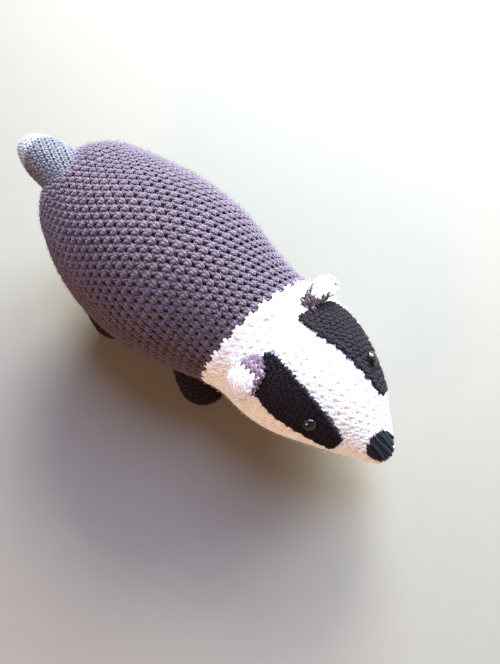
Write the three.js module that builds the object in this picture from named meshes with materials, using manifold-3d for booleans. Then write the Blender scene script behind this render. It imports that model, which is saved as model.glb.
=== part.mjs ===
/**
 * A stuffed crochet badger, standing on four stubby legs: a grey trunk, a white head with two
 * black stripes sewn on, drooping ears, a yarn nose, two domed eyes and a short thick tail.
 *
 * Millimetres, +Z up, nose towards -Y, floor at z = 0. The toy's own right side is -X. The
 * origin is on the floor, under the middle of the whole toy.
 *
 * Every stuffed form is the skin of a ball that rolls along a bent line and swells or shrinks
 * on the way, which is how a crocheted tube looks once it is filled.
 */
import * as THREE from 'three';
import { mergeVertices } from 'three/addons/utils/BufferGeometryUtils.js';
import Module from 'manifold-3d';

const wasm = await Module();
wasm.setup();

/** Clear space between two pieces that touch in life. */
const GAP = 0.3;
/** Halvings that find a place along a line to a hundredth of a millimetre. */
const HALVINGS = 16;
/** The part of a line that its direction is measured over, and the steepest swelling allowed. */
const NUDGE = 1e-3;
const STEEPEST = 0.95;
/** Points nearer than this are one point, when a form becomes a solid. */
const SAME_POINT = 1e-4;
/** Edge of the blocks that cut forms in two, larger than the toy. */
const BLOCK = 400;

/** Balls along the body, from the rump forward: the ball's middle and its radius. */
const BODY = [
  { name: 'rump', x: 4.3, y: 76.5, z: 69.6, r: 46.0 },
  { name: 'hips', x: 1.0, y: 54.9, z: 66.5, r: 52.9 },
  { name: 'belly', x: 0.0, y: 33.2, z: 64.1, r: 56.6 },
  { name: 'ribs', x: -0.4, y: 11.6, z: 61.9, r: 55.1 },
  { name: 'chest', x: -0.4, y: -10.1, z: 59.0, r: 49.3 },
  { name: 'shoulders', x: 0.0, y: -31.7, z: 56.3, r: 43.7 },
  { name: 'neck', x: 0.1, y: -53.3, z: 53.3, r: 41.8 },
  { name: 'crown', x: -0.9, y: -75.0, z: 54.0, r: 42.7 },
  { name: 'brow', x: -3.3, y: -96.6, z: 51.5, r: 33.9 },
  { name: 'muzzle', x: -6.9, y: -118.2, z: 47.6, r: 22.6 },
  { name: 'snout', x: -11.4, y: -139.4, z: 45.6, r: 9.8 },
];
const BODY_DETAIL = { sides: 34, steps: 38, endSteps: 5 };
/** Where the grey trunk turns into the white head: a point on the cut, and the cut's lean. */
const COLLAR = { y: -44, z: 54, pitchDeg: 11, yawDeg: -7.7 };

const TAIL = [
  { x: 3.0, y: 88, z: 94.5, r: 20.0 },
  { x: 3.1, y: 109, z: 94.4, r: 17.0 },
  { x: 3.4, y: 127, z: 94.0, r: 15.2 },
  { x: 3.7, y: 139, z: 93.4, r: 11.0 },
];
const TAIL_DETAIL = { sides: 20, steps: 8, endSteps: 4 };

/** Each leg runs from a ball inside the trunk down and out to the ball of its foot. */
const LEG = {
  hip: { inward: 14, ahead: 0, z: 46, r: 16 },
  knee: { inward: 4.5, ahead: 0, z: 28, r: 16.2 },
  foot: { inward: 0, ahead: 3, z: 12.5, r: 16.5 },
  front: { x: 42, y: -21 },
  rear: { x: 45, y: 64 },
};
const LEG_DETAIL = { sides: 18, steps: 5, endSteps: 4 };

/**
 * An ear is a flattened bag that lies over the side of the head: degrees from the top of the
 * head, height over its skin and half width, from the sewn edge to the free tip.
 */
const EAR = {
  y: -69.5,
  flatness: 0.36,
  stations: [
    { deg: 30, lift: 0.8, r: 7.4 },
    { deg: 38, lift: 3.2, r: 9.4 },
    { deg: 47, lift: 4.2, r: 9.8 },
    { deg: 55, lift: 4.4, r: 8.2 },
  ],
};
const EAR_DETAIL = { sides: 16, steps: 8, endSteps: 3 };
/** The left ear stands further off the head than the right one. */
const EAR_SPREAD = { right: 1.0, left: 2.1 };

/**
 * A stripe runs along the head between two edges, in degrees from the top of the head. Its
 * back end slants, further forward at the outer edge.
 */
const STRIPE = {
  backY: -71,
  frontY: -123.5,
  backSlant: 5,
  innerDeg: [12, 16, 22, 34],
  outerDeg: [46, 55, 61, 66],
  thick: 2.2,
  rim: 1.0,
  corner: 5,
  ends: 0.97,
  leastRadius: 20,
  rows: 16,
  columns: 8,
};
/** How much lower the left stripe's outer edge is sewn at its back end, in degrees. */
const STRIPE_DROP = { right: 0, left: 12 };

const NOSE = { y: -142, deg: -8, reach: 9.2, thick: 1.2, sides: 14 };
const EYE = { y: -105.5, deg: 42, r: 3.9, height: 3.0, sides: 16, rings: 5 };

const COLOURS = {
  grey: 0x7a7280,
  white: 0xf2eeea,
  black: 0x1d181c,
  tail: 0x9a949c,
  ear: 0xf2eeea,
  eye: 0x08080a,
};

const UP = new THREE.Vector3(0, 0, 1);
const FORWARD = new THREE.Vector3(0, -1, 0);
const RIGHT = 1;
const LEFT = -1;
const SIDES = [
  { side: 'right', turn: RIGHT, sign: -1 },
  { side: 'left', turn: LEFT, sign: 1 },
];

/** A smooth value through evenly spaced ones, at u from 0 to 1. */
function through(values, u) {
  const line = new THREE.CatmullRomCurve3(
    values.map((value) => new THREE.Vector3(value, 0, 0)),
    false,
    'catmullrom',
  );
  return line.getPoint(THREE.MathUtils.clamp(u, 0, 1)).x;
}

/** The bent line that a form's ball rolls along, with the ball's radius and its change. */
class BallPath {
  constructor(stations, up) {
    const points = stations.map(({ x, y, z }) => new THREE.Vector3(x, y, z));
    this.line = new THREE.CatmullRomCurve3(points, false, 'catmullrom');
    this.radii = stations.map(({ r }) => r);
    this.up = up;
  }

  /** The ball at t from 0 to 1, with a frame: along the line, up, and to the right of it. */
  ball(t, grow = 0) {
    const [t0, t1] = [Math.max(t - NUDGE, 0), Math.min(t + NUDGE, 1)];
    const travel = this.line.getPoint(t1).sub(this.line.getPoint(t0));
    const along = travel.clone().normalize();
    const up = this.up.clone().addScaledVector(along, -this.up.dot(along)).normalize();
    const change = through(this.radii, t1) - through(this.radii, t0);
    return {
      middle: this.line.getPoint(t),
      radius: through(this.radii, t) + grow,
      slope: THREE.MathUtils.clamp(change / travel.length(), -STEEPEST, STEEPEST),
      along,
      up,
      right: along.clone().cross(up),
    };
  }

  /** A ring on a ball: sine is -1 at its back pole, 0 at its girth and 1 at its front pole. */
  static ring({ middle, radius, along, up, right }, sine, sides, flatness) {
    const reach = radius * Math.sqrt(Math.max(1 - sine * sine, 0));
    const centre = middle.clone().addScaledVector(along, radius * sine);
    return Array.from({ length: sides }, (_, k) => {
      const angle = (2 * Math.PI * k) / sides;
      return centre
        .clone()
        .addScaledVector(up, reach * flatness * Math.cos(angle))
        .addScaledVector(right, reach * Math.sin(angle));
    });
  }

  /** The closed skin around the whole path. */
  skin({ sides, steps, endSteps }, { grow = 0, flatness = 1 } = {}) {
    const [first, final] = [this.ball(0, grow), this.ball(1, grow)];
    const rings = [];
    const startAngle = Math.asin(-first.slope);
    for (let k = 1; k < endSteps; k += 1) {
      const angle = THREE.MathUtils.lerp(-Math.PI / 2, startAngle, k / endSteps);
      rings.push(BallPath.ring(first, Math.sin(angle), sides, flatness));
    }
    for (let k = 0; k <= steps; k += 1) {
      const ball = this.ball(k / steps, grow);
      rings.push(BallPath.ring(ball, -ball.slope, sides, flatness));
    }
    const endAngle = Math.asin(-final.slope);
    for (let k = 1; k < endSteps; k += 1) {
      const angle = THREE.MathUtils.lerp(endAngle, Math.PI / 2, k / endSteps);
      rings.push(BallPath.ring(final, Math.sin(angle), sides, flatness));
    }
    const backPole = first.middle.clone().addScaledVector(first.along, -first.radius);
    const frontPole = final.middle.clone().addScaledVector(final.along, final.radius);
    return closedTube(rings, backPole, frontPole);
  }

  /** The ball whose ring of contact with the skin has its middle at y. */
  ballAt(y) {
    let [back, front] = [0, 1];
    for (let halving = 0; halving < HALVINGS; halving += 1) {
      const t = (back + front) / 2;
      const { middle, along, radius, slope } = this.ball(t);
      if (middle.y - along.y * radius * slope > y) back = t;
      else front = t;
    }
    return this.ball((back + front) / 2);
  }

  /**
   * A point over the skin, with its outward direction: y is the middle of the ring that it
   * lies on, deg the turn from the top, positive to the toy's right.
   */
  over(y, deg, lift) {
    const angle = THREE.MathUtils.degToRad(deg);
    const ball = this.ballAt(y);
    const reach = Math.sqrt(1 - ball.slope * ball.slope);
    const outward = ball.along
      .clone()
      .multiplyScalar(-ball.slope)
      .addScaledVector(ball.up, reach * Math.cos(angle))
      .addScaledVector(ball.right, reach * Math.sin(angle));
    const point = ball.middle.clone().addScaledVector(outward, ball.radius + lift);
    return { point, outward };
  }
}

/** A geometry from a list of points and of triangles' corner numbers. */
function facets(points, corners) {
  const geometry = new THREE.BufferGeometry();
  geometry.setAttribute(
    'position',
    new THREE.Float32BufferAttribute(points.flatMap((p) => p.toArray()), 3),
  );
  geometry.setIndex(corners);
  return geometry;
}

/** Rings of equal length joined into a tube, with a pole at each end. */
function closedTube(rings, backPole, frontPole) {
  const sides = rings[0].length;
  const points = [...rings.flat(), backPole, frontPole];
  const [back, front] = [points.length - 2, points.length - 1];
  const lastRing = (rings.length - 1) * sides;
  const corners = [];
  for (let k = 0; k < sides; k += 1) {
    const next = (k + 1) % sides;
    corners.push(back, next, k, front, lastRing + k, lastRing + next);
    for (let ring = 0; ring < lastRing; ring += sides) {
      const [a, b] = [ring + k, ring + next];
      const [c, d] = [b + sides, a + sides];
      corners.push(a, b, c, a, c, d);
    }
  }
  return facets(points, corners);
}

/** A patch of cloth: a top and an underside sheet of points, joined along their rims. */
function closedPatch(top, under) {
  const [rows, columns] = [top.length, top[0].length];
  const points = [...top.flat(), ...under.flat()];
  const at = (row, column, sheet) => sheet * rows * columns + row * columns + column;
  const corners = [];
  for (let row = 0; row + 1 < rows; row += 1) {
    for (let column = 0; column + 1 < columns; column += 1) {
      for (const sheet of [0, 1]) {
        const a = at(row, column, sheet);
        const b = at(row, column + 1, sheet);
        const c = at(row + 1, column + 1, sheet);
        const d = at(row + 1, column, sheet);
        corners.push(...(sheet === 0 ? [a, b, c, a, c, d] : [a, c, b, a, d, c]));
      }
    }
  }
  const rim = [];
  for (let column = 0; column < columns; column += 1) rim.push([0, column]);
  for (let row = 1; row < rows; row += 1) rim.push([row, columns - 1]);
  for (let column = columns - 2; column >= 0; column -= 1) rim.push([rows - 1, column]);
  for (let row = rows - 2; row > 0; row -= 1) rim.push([row, 0]);
  rim.forEach(([row, column], k) => {
    const [nextRow, nextColumn] = rim[(k + 1) % rim.length];
    const [a, b] = [at(row, column, 0), at(nextRow, nextColumn, 0)];
    const [c, d] = [at(nextRow, nextColumn, 1), at(row, column, 1)];
    corners.push(a, c, b, a, d, c);
  });
  return facets(points, corners);
}

/** A solid for cutting and joining, from any closed geometry. */
function solid(geometry) {
  const bare = geometry.index ? geometry.clone() : geometry;
  bare.deleteAttribute('normal');
  bare.deleteAttribute('uv');
  const merged = mergeVertices(bare, SAME_POINT);
  return new wasm.Manifold(
    new wasm.Mesh({
      numProp: 3,
      vertProperties: new Float32Array(merged.attributes.position.array),
      triVerts: new Uint32Array(merged.index.array),
    }),
  );
}

/** The geometry of a solid after its cuts. */
function geometryOf(cut) {
  const { vertProperties, triVerts } = cut.getMesh();
  const geometry = new THREE.BufferGeometry();
  geometry.setAttribute('position', new THREE.Float32BufferAttribute(vertProperties, 3));
  geometry.setIndex([...triVerts]);
  return geometry;
}

/** A block far larger than the toy whose one face is the plane through a point. */
function halfSpace(point, outward) {
  const block = new THREE.BoxGeometry(BLOCK, BLOCK, BLOCK);
  block.translate(0, 0, BLOCK / 2);
  block.applyQuaternion(new THREE.Quaternion().setFromUnitVectors(UP, outward));
  block.translate(point.x, point.y, point.z);
  return solid(block);
}

const badger = new THREE.Group();

/** Adds one named piece to the toy. */
function piece(name, geometry, color, roughness = 0.95) {
  const material = new THREE.MeshStandardMaterial({ color, roughness, metalness: 0 });
  const mesh = new THREE.Mesh(geometry, material);
  mesh.name = name;
  badger.add(mesh);
}

const body = new BallPath(BODY, UP);
const bodyCutter = solid(body.skin(BODY_DETAIL, { grow: GAP }));

/** The trunk and the head: one stuffed form, parted at the change of yarn. */
function buildTrunkAndHead() {
  const whole = solid(body.skin(BODY_DETAIL));
  const lean = new THREE.Euler(
    THREE.MathUtils.degToRad(COLLAR.pitchDeg),
    0,
    THREE.MathUtils.degToRad(COLLAR.yawDeg),
    'ZXY',
  );
  const forward = FORWARD.clone().applyEuler(lean);
  const middle = new THREE.Vector3(0, COLLAR.y, COLLAR.z);
  const frontEdge = middle.clone().addScaledVector(forward, GAP / 2);
  const backEdge = middle.clone().addScaledVector(forward, -GAP / 2);
  piece('trunk', geometryOf(whole.subtract(halfSpace(backEdge, forward))), COLOURS.grey);
  piece('head', geometryOf(whole.intersect(halfSpace(frontEdge, forward))), COLOURS.white);
}

function buildTail() {
  const path = new BallPath(TAIL, UP);
  const tail = solid(path.skin(TAIL_DETAIL)).subtract(bodyCutter);
  piece('tail', geometryOf(tail), COLOURS.tail);
}

/** Four stubby legs, each with a foot that is flat where it meets the floor. */
function buildLegs() {
  const overFloor = halfSpace(new THREE.Vector3(), UP);
  for (const { side, sign } of SIDES) {
    for (const end of ['front', 'rear']) {
      const stations = [LEG.hip, LEG.knee, LEG.foot].map(({ inward, ahead, z, r }) => {
        return { x: sign * (LEG[end].x - inward), y: LEG[end].y - ahead, z, r };
      });
      const path = new BallPath(stations, FORWARD);
      const leg = solid(path.skin(LEG_DETAIL)).subtract(bodyCutter).intersect(overFloor);
      piece(`leg_${end}_${side}`, geometryOf(leg), COLOURS.black);
    }
  }
}

/** One black stripe as a sewn-on patch, with its rim drawn in where it is stitched down. */
function stripePatch(turn, drop, grow = 0) {
  const [top, under] = [[], []];
  const growDeg = THREE.MathUtils.radToDeg(grow / STRIPE.leastRadius);
  for (let row = 0; row <= STRIPE.rows; row += 1) {
    const u = row / STRIPE.rows;
    const along = STRIPE.ends * (2 * u - 1);
    const fullness = (1 - Math.abs(along) ** STRIPE.corner) ** (1 / STRIPE.corner);
    const inner = through(STRIPE.innerDeg, u);
    const outer = through(STRIPE.outerDeg, u) + drop * (1 - u);
    const middle = (inner + outer) / 2;
    const half = ((outer - inner) / 2) * fullness + growDeg;
    const [topRow, underRow] = [[], []];
    for (let column = 0; column <= STRIPE.columns; column += 1) {
      const across = (2 * column) / STRIPE.columns - 1;
      const deg = turn * (middle + across * half);
      const backY = STRIPE.backY - (STRIPE.backSlant * (across + 1)) / 2;
      const y = THREE.MathUtils.lerp(backY + grow, STRIPE.frontY - grow, u);
      const onRim = row === 0 || row === STRIPE.rows || Math.abs(across) === 1;
      const lift = onRim ? STRIPE.rim : STRIPE.thick;
      topRow.push(body.over(y, deg, GAP + lift + grow).point);
      underRow.push(body.over(y, deg, grow > 0 ? -1 : GAP).point);
    }
    top.push(turn === RIGHT ? topRow : topRow.reverse());
    under.push(turn === RIGHT ? underRow : underRow.reverse());
  }
  return closedPatch(top, under);
}

/** Stripes, and ears that lie clear of the head and of the stripes. */
function buildStripesAndEars() {
  for (const { side, turn } of SIDES) {
    const drop = STRIPE_DROP[side];
    piece(`stripe_${side}`, stripePatch(turn, drop), COLOURS.black);
    const spread = EAR_SPREAD[side];
    const stations = EAR.stations.map(({ deg, lift, r }) => {
      const { point } = body.over(EAR.y, turn * deg, lift * spread);
      return { x: point.x, y: point.y, z: point.z, r };
    });
    const middleDeg = (EAR.stations[0].deg + EAR.stations.at(-1).deg) / 2;
    const outward = body.over(EAR.y, turn * middleDeg, 0).outward;
    const bag = new BallPath(stations, outward).skin(EAR_DETAIL, { flatness: EAR.flatness });
    const ear = solid(bag).subtract(bodyCutter).subtract(solid(stripePatch(turn, drop, 2 * GAP)));
    piece(`ear_${side}`, geometryOf(ear), COLOURS.ear);
  }
}

/** The yarn nose: a thin cap over the tip of the snout. */
function buildNose() {
  const { point } = body.over(NOSE.y, NOSE.deg, 0);
  const ball = new THREE.SphereGeometry(NOSE.reach, NOSE.sides, NOSE.sides / 2);
  ball.translate(point.x, point.y, point.z);
  const thick = solid(body.skin(BODY_DETAIL, { grow: GAP + NOSE.thick }));
  const cap = thick.intersect(solid(ball)).subtract(bodyCutter);
  piece('nose', geometryOf(cap), COLOURS.black);
}

/** Domed plastic eyes on the stripes. */
function buildEyes() {
  const profile = [new THREE.Vector2(0, 0)];
  for (let k = 0; k <= EYE.rings; k += 1) {
    const angle = (Math.PI / 2) * (k / EYE.rings);
    profile.push(new THREE.Vector2(EYE.r * Math.cos(angle), EYE.height * Math.sin(angle)));
  }
  profile[profile.length - 1].x = 0;
  for (const { side, turn } of SIDES) {
    const lift = STRIPE.thick + 2 * GAP;
    const { point, outward } = body.over(EYE.y, turn * EYE.deg, lift);
    const dome = new THREE.LatheGeometry(profile, EYE.sides);
    dome.applyQuaternion(
      new THREE.Quaternion().setFromUnitVectors(new THREE.Vector3(0, 1, 0), outward),
    );
    dome.translate(point.x, point.y, point.z);
    piece(`eye_${side}`, geometryOf(solid(dome)), COLOURS.eye, 0.12);
  }
}

buildTrunkAndHead();
buildTail();
buildLegs();
buildStripesAndEars();
buildNose();
buildEyes();

export default badger;
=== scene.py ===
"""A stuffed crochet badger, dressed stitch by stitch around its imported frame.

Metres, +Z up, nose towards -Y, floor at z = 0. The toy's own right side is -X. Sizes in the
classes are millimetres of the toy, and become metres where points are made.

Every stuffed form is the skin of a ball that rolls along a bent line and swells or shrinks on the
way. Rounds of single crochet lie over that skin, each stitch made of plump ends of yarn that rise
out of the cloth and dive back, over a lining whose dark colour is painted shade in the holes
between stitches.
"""

import logging
import math
from dataclasses import dataclass, field
from enum import Enum

import bpy
import numpy as np
from mathutils import Matrix

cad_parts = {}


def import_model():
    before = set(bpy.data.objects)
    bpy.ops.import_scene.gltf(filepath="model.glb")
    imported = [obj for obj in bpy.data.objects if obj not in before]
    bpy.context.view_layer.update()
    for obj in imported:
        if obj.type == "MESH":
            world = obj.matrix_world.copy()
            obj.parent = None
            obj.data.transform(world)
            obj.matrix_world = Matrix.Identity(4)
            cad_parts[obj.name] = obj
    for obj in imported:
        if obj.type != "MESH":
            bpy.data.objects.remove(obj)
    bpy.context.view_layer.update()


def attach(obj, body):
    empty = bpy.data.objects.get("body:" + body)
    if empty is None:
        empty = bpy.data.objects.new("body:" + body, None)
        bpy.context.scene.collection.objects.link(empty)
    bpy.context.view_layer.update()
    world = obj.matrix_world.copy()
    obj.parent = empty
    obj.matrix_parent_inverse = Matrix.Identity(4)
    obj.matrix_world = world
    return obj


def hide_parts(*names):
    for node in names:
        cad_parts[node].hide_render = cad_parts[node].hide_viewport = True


LOG = logging.getLogger("crochet_badger")
MM = 0.001
FULL_TURN = 2 * math.pi
UP = (0.0, 0.0, 1.0)
FORWARD = (0.0, -1.0, 0.0)
TINY = 1e-9
# A step over a skin that is short enough to give its slope there.
SKIN_STEP = 0.2 * MM
# Stitches of the tail and legs that lie deeper in the trunk than this are left out.
SEWN_DEPTH = 1.5 * MM
# The share of the strand map that each pole of a lining takes.
LINING_EDGE = 0.02
STRAND_MAP = "Strand"
BAKE_MAP = "OFBake"


class Side(Enum):
    """The toy's own right and left; the value is the sign of a turn from the top."""

    RIGHT = 1
    LEFT = -1

    @property
    def word(self) -> str:
        """The side as part of a name."""
        return self.name.lower()

    @property
    def x(self) -> int:
        """The sign of x on this side."""
        return -self.value


class End(Enum):
    """The two pairs of legs."""

    FRONT = "front"
    REAR = "rear"


def through(points: np.ndarray, share: np.ndarray) -> np.ndarray:
    """A smooth line through evenly spaced points.

    Args:
        points: the points, one a row.
        share: places along the line, from 0 to 1.

    Returns:
        The line's points at those places.
    """
    points = np.asarray(points, float)
    share = np.asarray(share, float)
    before = 2 * points[0] - points[1]
    after = 2 * points[-1] - points[-2]
    padded = np.concatenate([before[None], points, after[None]])
    place = np.clip(share, 0, 1) * (len(points) - 1)
    first = np.minimum(place.astype(int), len(points) - 2)
    w = (place - first)[..., None]
    p0, p1, p2, p3 = (padded[first + k] for k in range(4))
    m1, m2 = (p2 - p0) / 2, (p3 - p1) / 2
    cubic = 2 * p1 - 2 * p2 + m1 + m2
    square = -3 * p1 + 3 * p2 - 2 * m1 - m2
    return p1 + m1 * w + square * w**2 + cubic * w**3


def smooth_through(values: list, share: np.ndarray) -> np.ndarray:
    """A smooth value through evenly spaced ones."""
    return through(np.array(values, float)[:, None], share)[..., 0]


def unit(vectors: np.ndarray) -> np.ndarray:
    """The vectors at length one."""
    return vectors / np.maximum(np.linalg.norm(vectors, axis=-1, keepdims=True), TINY)


def way_along(points: np.ndarray) -> np.ndarray:
    """The way from the first of some points to each of them."""
    return np.r_[0, np.cumsum(np.linalg.norm(np.diff(points, axis=0), axis=1))]


def put(name: str, data: bpy.types.ID) -> bpy.types.Object:
    """Adds an object to the scene.

    Args:
        name: its name.
        data: its mesh, camera or light.

    Returns:
        The object.
    """
    made = bpy.data.objects.new(name, data)
    bpy.context.collection.objects.link(made)
    return made


@dataclass
class BallPath:
    """The skin of a ball that rolls along a bent line, with its two round ends.

    A place on the skin is (s, a): metres along the skin from its back pole, and the turn from
    the top, positive to the right of someone who looks along the line. Each station is a
    middle and a radius of the ball, and flatness squashes the form along up. The lean says how
    much rounds of stitches rise to the right, as pairs of a place in millimetres and a slope.
    Fine and end_fine count the rings between the stations and over each round end, nudge is
    the step that gives the line's direction, and steepest the greatest slope of the radius.
    """

    stations: list
    up: tuple = UP
    flatness: float = 1.0
    lean: tuple = ((0.0, 0.0),)
    fine: int = 500
    end_fine: int = 60
    nudge: float = 1e-3
    steepest: float = 0.95

    def __post_init__(self) -> None:
        """Works out the rings of contact between ball and skin, in order along the skin."""
        share = np.linspace(0, 1, self.fine)
        middle, radius, slope, along, up, right = self.balls(share)
        back = np.linspace(-1, -slope[0], self.end_fine)[:-1]
        front = np.linspace(-slope[-1], 1, self.end_fine)[1:]
        pick = np.r_[np.zeros(len(back), int), np.arange(self.fine)]
        pick = np.r_[pick, np.full(len(front), self.fine - 1)]
        sine = np.r_[back, -slope, front]
        reach = radius[pick] * np.sqrt(np.maximum(1 - sine**2, 0))
        centre = middle[pick] + along[pick] * (radius[pick] * sine)[:, None]
        kept = [0]
        for k in range(1, len(pick)):
            if (centre[k] - centre[kept[-1]]) @ along[pick[k]] > 0:
                kept.append(k)
        pick = pick[kept]
        self.sine, self.reach, self.centre = sine[kept], reach[kept], centre[kept]
        self.radius, self.middle = radius[pick], middle[pick]
        self.along, self.above, self.right = along[pick], up[pick], right[pick]
        moved = np.linalg.norm(np.diff(self.centre, axis=0), axis=1)
        self.s = np.r_[0, np.cumsum(np.hypot(moved, np.diff(self.reach)))]

    def balls(self, share: np.ndarray) -> tuple:
        """The balls at places along the line.

        Args:
            share: places along the line, from 0 to 1.

        Returns:
            Middles, radii, the radii's change by distance, and unit vectors along the line,
            up and to the right.
        """
        line = np.array(self.stations, float) * MM
        low = np.maximum(share - self.nudge, 0)
        high = np.minimum(share + self.nudge, 1)
        ball = through(line, share)
        change = through(line, high) - through(line, low)
        travel = np.linalg.norm(change[:, :3], axis=1)
        along = unit(change[:, :3])
        up = np.array(self.up) - along * (along @ np.array(self.up))[:, None]
        up = unit(up)
        slope = np.clip(change[:, 3] / travel, -self.steepest, self.steepest)
        return ball[:, :3], ball[:, 3], slope, along, up, np.cross(along, up)

    @property
    def length(self) -> float:
        """The way over the skin from pole to pole."""
        return float(self.s[-1])

    def read(self, table: np.ndarray, s: np.ndarray) -> np.ndarray:
        """Reads one of the path's tables.

        Args:
            table: a value or a row of values for each ring.
            s: metres along the skin.

        Returns:
            The table's values there.
        """
        if table.ndim == 1:
            return np.interp(s, self.s, table)
        columns = [np.interp(s, self.s, column) for column in table.T]
        return np.stack(columns, axis=-1)

    def point(self, s: np.ndarray, a: np.ndarray, lift: float = 0.0) -> np.ndarray:
        """Points over the skin.

        Args:
            s: metres along the skin.
            a: turns from the top, in radians.
            lift: height over the skin.

        Returns:
            The points, one a row.
        """
        s, a = np.broadcast_arrays(np.asarray(s, float), np.asarray(a, float))
        sine = self.read(self.sine, s)[..., None]
        ball = (self.read(self.radius, s) + lift)[..., None]
        level = ball * np.sqrt(np.maximum(1 - sine**2, 0))
        rise = self.read(self.above, s) * self.flatness * np.cos(a)[..., None]
        swing = self.read(self.right, s) * np.sin(a)[..., None]
        ahead = self.read(self.along, s) * ball * sine
        return self.read(self.middle, s) + ahead + level * (rise + swing)

    def s_at_y(self, y: np.ndarray) -> np.ndarray:
        """The place along the skin whose ring has its middle at y, in metres."""
        order = np.argsort(self.centre[:, 1])
        return np.interp(y, self.centre[order, 1], self.s[order])

    def outward(self, s: np.ndarray, a: np.ndarray, step: float = SKIN_STEP) -> np.ndarray:
        """Unit vectors out of the skin.

        Args:
            s: metres along the skin.
            a: turns from the top, in radians.
            step: the step over the skin that gives its slope.

        Returns:
            The vectors, one a row.
        """
        reach = np.maximum(self.read(self.reach, s), step)
        across = self.point(s, a + step / reach) - self.point(s, a - step / reach)
        along = self.point(s + step, a) - self.point(s - step, a)
        return unit(np.cross(across, along))

    def tilt(self, level: np.ndarray, a: np.ndarray) -> np.ndarray:
        """Where leaning rounds lie.

        Args:
            level: metres along the skin of each round at the top.
            a: turns from the top, in radians.

        Returns:
            Metres along the skin at those turns.
        """
        place, slope = np.array(self.lean).T
        rise = np.interp(level, place * MM, slope) * self.read(self.reach, level)
        return np.clip(level - rise * np.sin(a), 0, self.length)

    def depth(self, points: np.ndarray) -> np.ndarray:
        """How deep points lie inside the skin.

        Args:
            points: the points, one a row.

        Returns:
            Their depths in metres, negative outside.
        """
        middle, radius, *_ = self.balls(np.linspace(0, 1, self.fine // 3))
        gaps = np.linalg.norm(points[:, None] - middle[None], axis=2)
        return (radius[None] - gaps).max(axis=1)


@dataclass
class FootedPath(BallPath):
    """A ball path whose lowest part is pressed flat by the floor."""

    sole: float = 0.9

    def point(self, s: np.ndarray, a: np.ndarray, lift: float = 0.0) -> np.ndarray:
        """Points over the skin, none below the sole.

        Args:
            s: metres along the skin.
            a: turns from the top, in radians.
            lift: height over the skin.

        Returns:
            The points, one a row.
        """
        points = super().point(s, a, lift)
        points[..., 2] = np.maximum(points[..., 2], self.sole * MM - lift)
        return points


@dataclass(frozen=True)
class Gauge:
    """How a crocheted form is worked.

    Width and height are a stitch's, in millimetres. A round has from fewest to most stitches,
    in whole steps. The drift is how far each round starts to the right of the one before, in
    stitches. The first and the last round lie as far from the poles as the crown says, and
    least and longest bound a stitch's height, all in rounds.
    """

    width: float
    height: float
    drift: float = 0.38
    fewest: int = 5
    most: int = 999
    step: int = 1
    crown: tuple = (0.4, 0.8)
    least: float = 0.62
    longest: float = 1.5


@dataclass
class LaidStitches:
    """Where stitches lie: places, their frames, sizes, yarns, rounds' levels and turns."""

    place: np.ndarray
    frame: np.ndarray
    span: np.ndarray
    tone: np.ndarray
    level: np.ndarray
    a: np.ndarray

    def only(self, kept: np.ndarray) -> "LaidStitches":
        """The stitches that a mask keeps."""
        return LaidStitches(*(part[kept] for part in self.parts()))

    def joined(self, other: "LaidStitches") -> "LaidStitches":
        """These stitches and another lot."""
        both = zip(self.parts(), other.parts())
        return LaidStitches(*(np.concatenate(pair) for pair in both))

    def parts(self) -> tuple:
        """The tables, in the order of the fields."""
        return self.place, self.frame, self.span, self.tone, self.level, self.a


def lay_rounds(form: BallPath, gauge: Gauge, fine: int = 97) -> LaidStitches:
    """Lays rounds of stitches over a form.

    Args:
        form: the form to cover.
        gauge: the stitches' size and counts.
        fine: the points at which a round is measured.

    Returns:
        The stitches, round by round.
    """
    ends = sum(gauge.crown)
    rounds = max(round(form.length / (gauge.height * MM) + 1 - ends), 1)
    pitch = form.length / (rounds - 1 + ends)
    ring = np.linspace(0, FULL_TURN, fine)
    found = []
    for number in range(rounds):
        level = (number + gauge.crown[0]) * pitch
        levels = np.full(len(ring), level)
        run = way_along(form.point(form.tilt(levels, ring), ring))
        count = gauge.step * round(run[-1] / (gauge.width * MM * gauge.step))
        count = int(np.clip(count, gauge.fewest, gauge.most))
        order = (np.arange(count) + number * gauge.drift) % count
        a = np.interp(order / count * run[-1], run, ring)
        found.append((np.full(count, level), a, np.full(count, run[-1] / count)))
    level, a, width = (np.concatenate(part) for part in zip(*found))
    swing = SKIN_STEP / np.maximum(form.read(form.reach, level), MM)

    def at(step: float, turn: np.ndarray) -> np.ndarray:
        """Points on the rounds, or a step along the skin from them."""
        return form.point(form.tilt(level + step, turn), turn)

    away = form.outward(form.tilt(level, a), a)
    across = at(0.0, a + swing) - at(0.0, a - swing)
    across = unit(across - away * (across * away).sum(axis=1, keepdims=True))
    frame = np.stack([across, np.cross(away, across), away], axis=2)
    gap = np.linalg.norm(at(pitch / 2, a) - at(-pitch / 2, a), axis=1)
    height = np.clip(gap, gauge.least * pitch, gauge.longest * pitch)
    span = np.stack([width, height], axis=1) / MM
    return LaidStitches(at(0.0, a), frame, span, np.zeros(len(a)), level, a)


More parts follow.
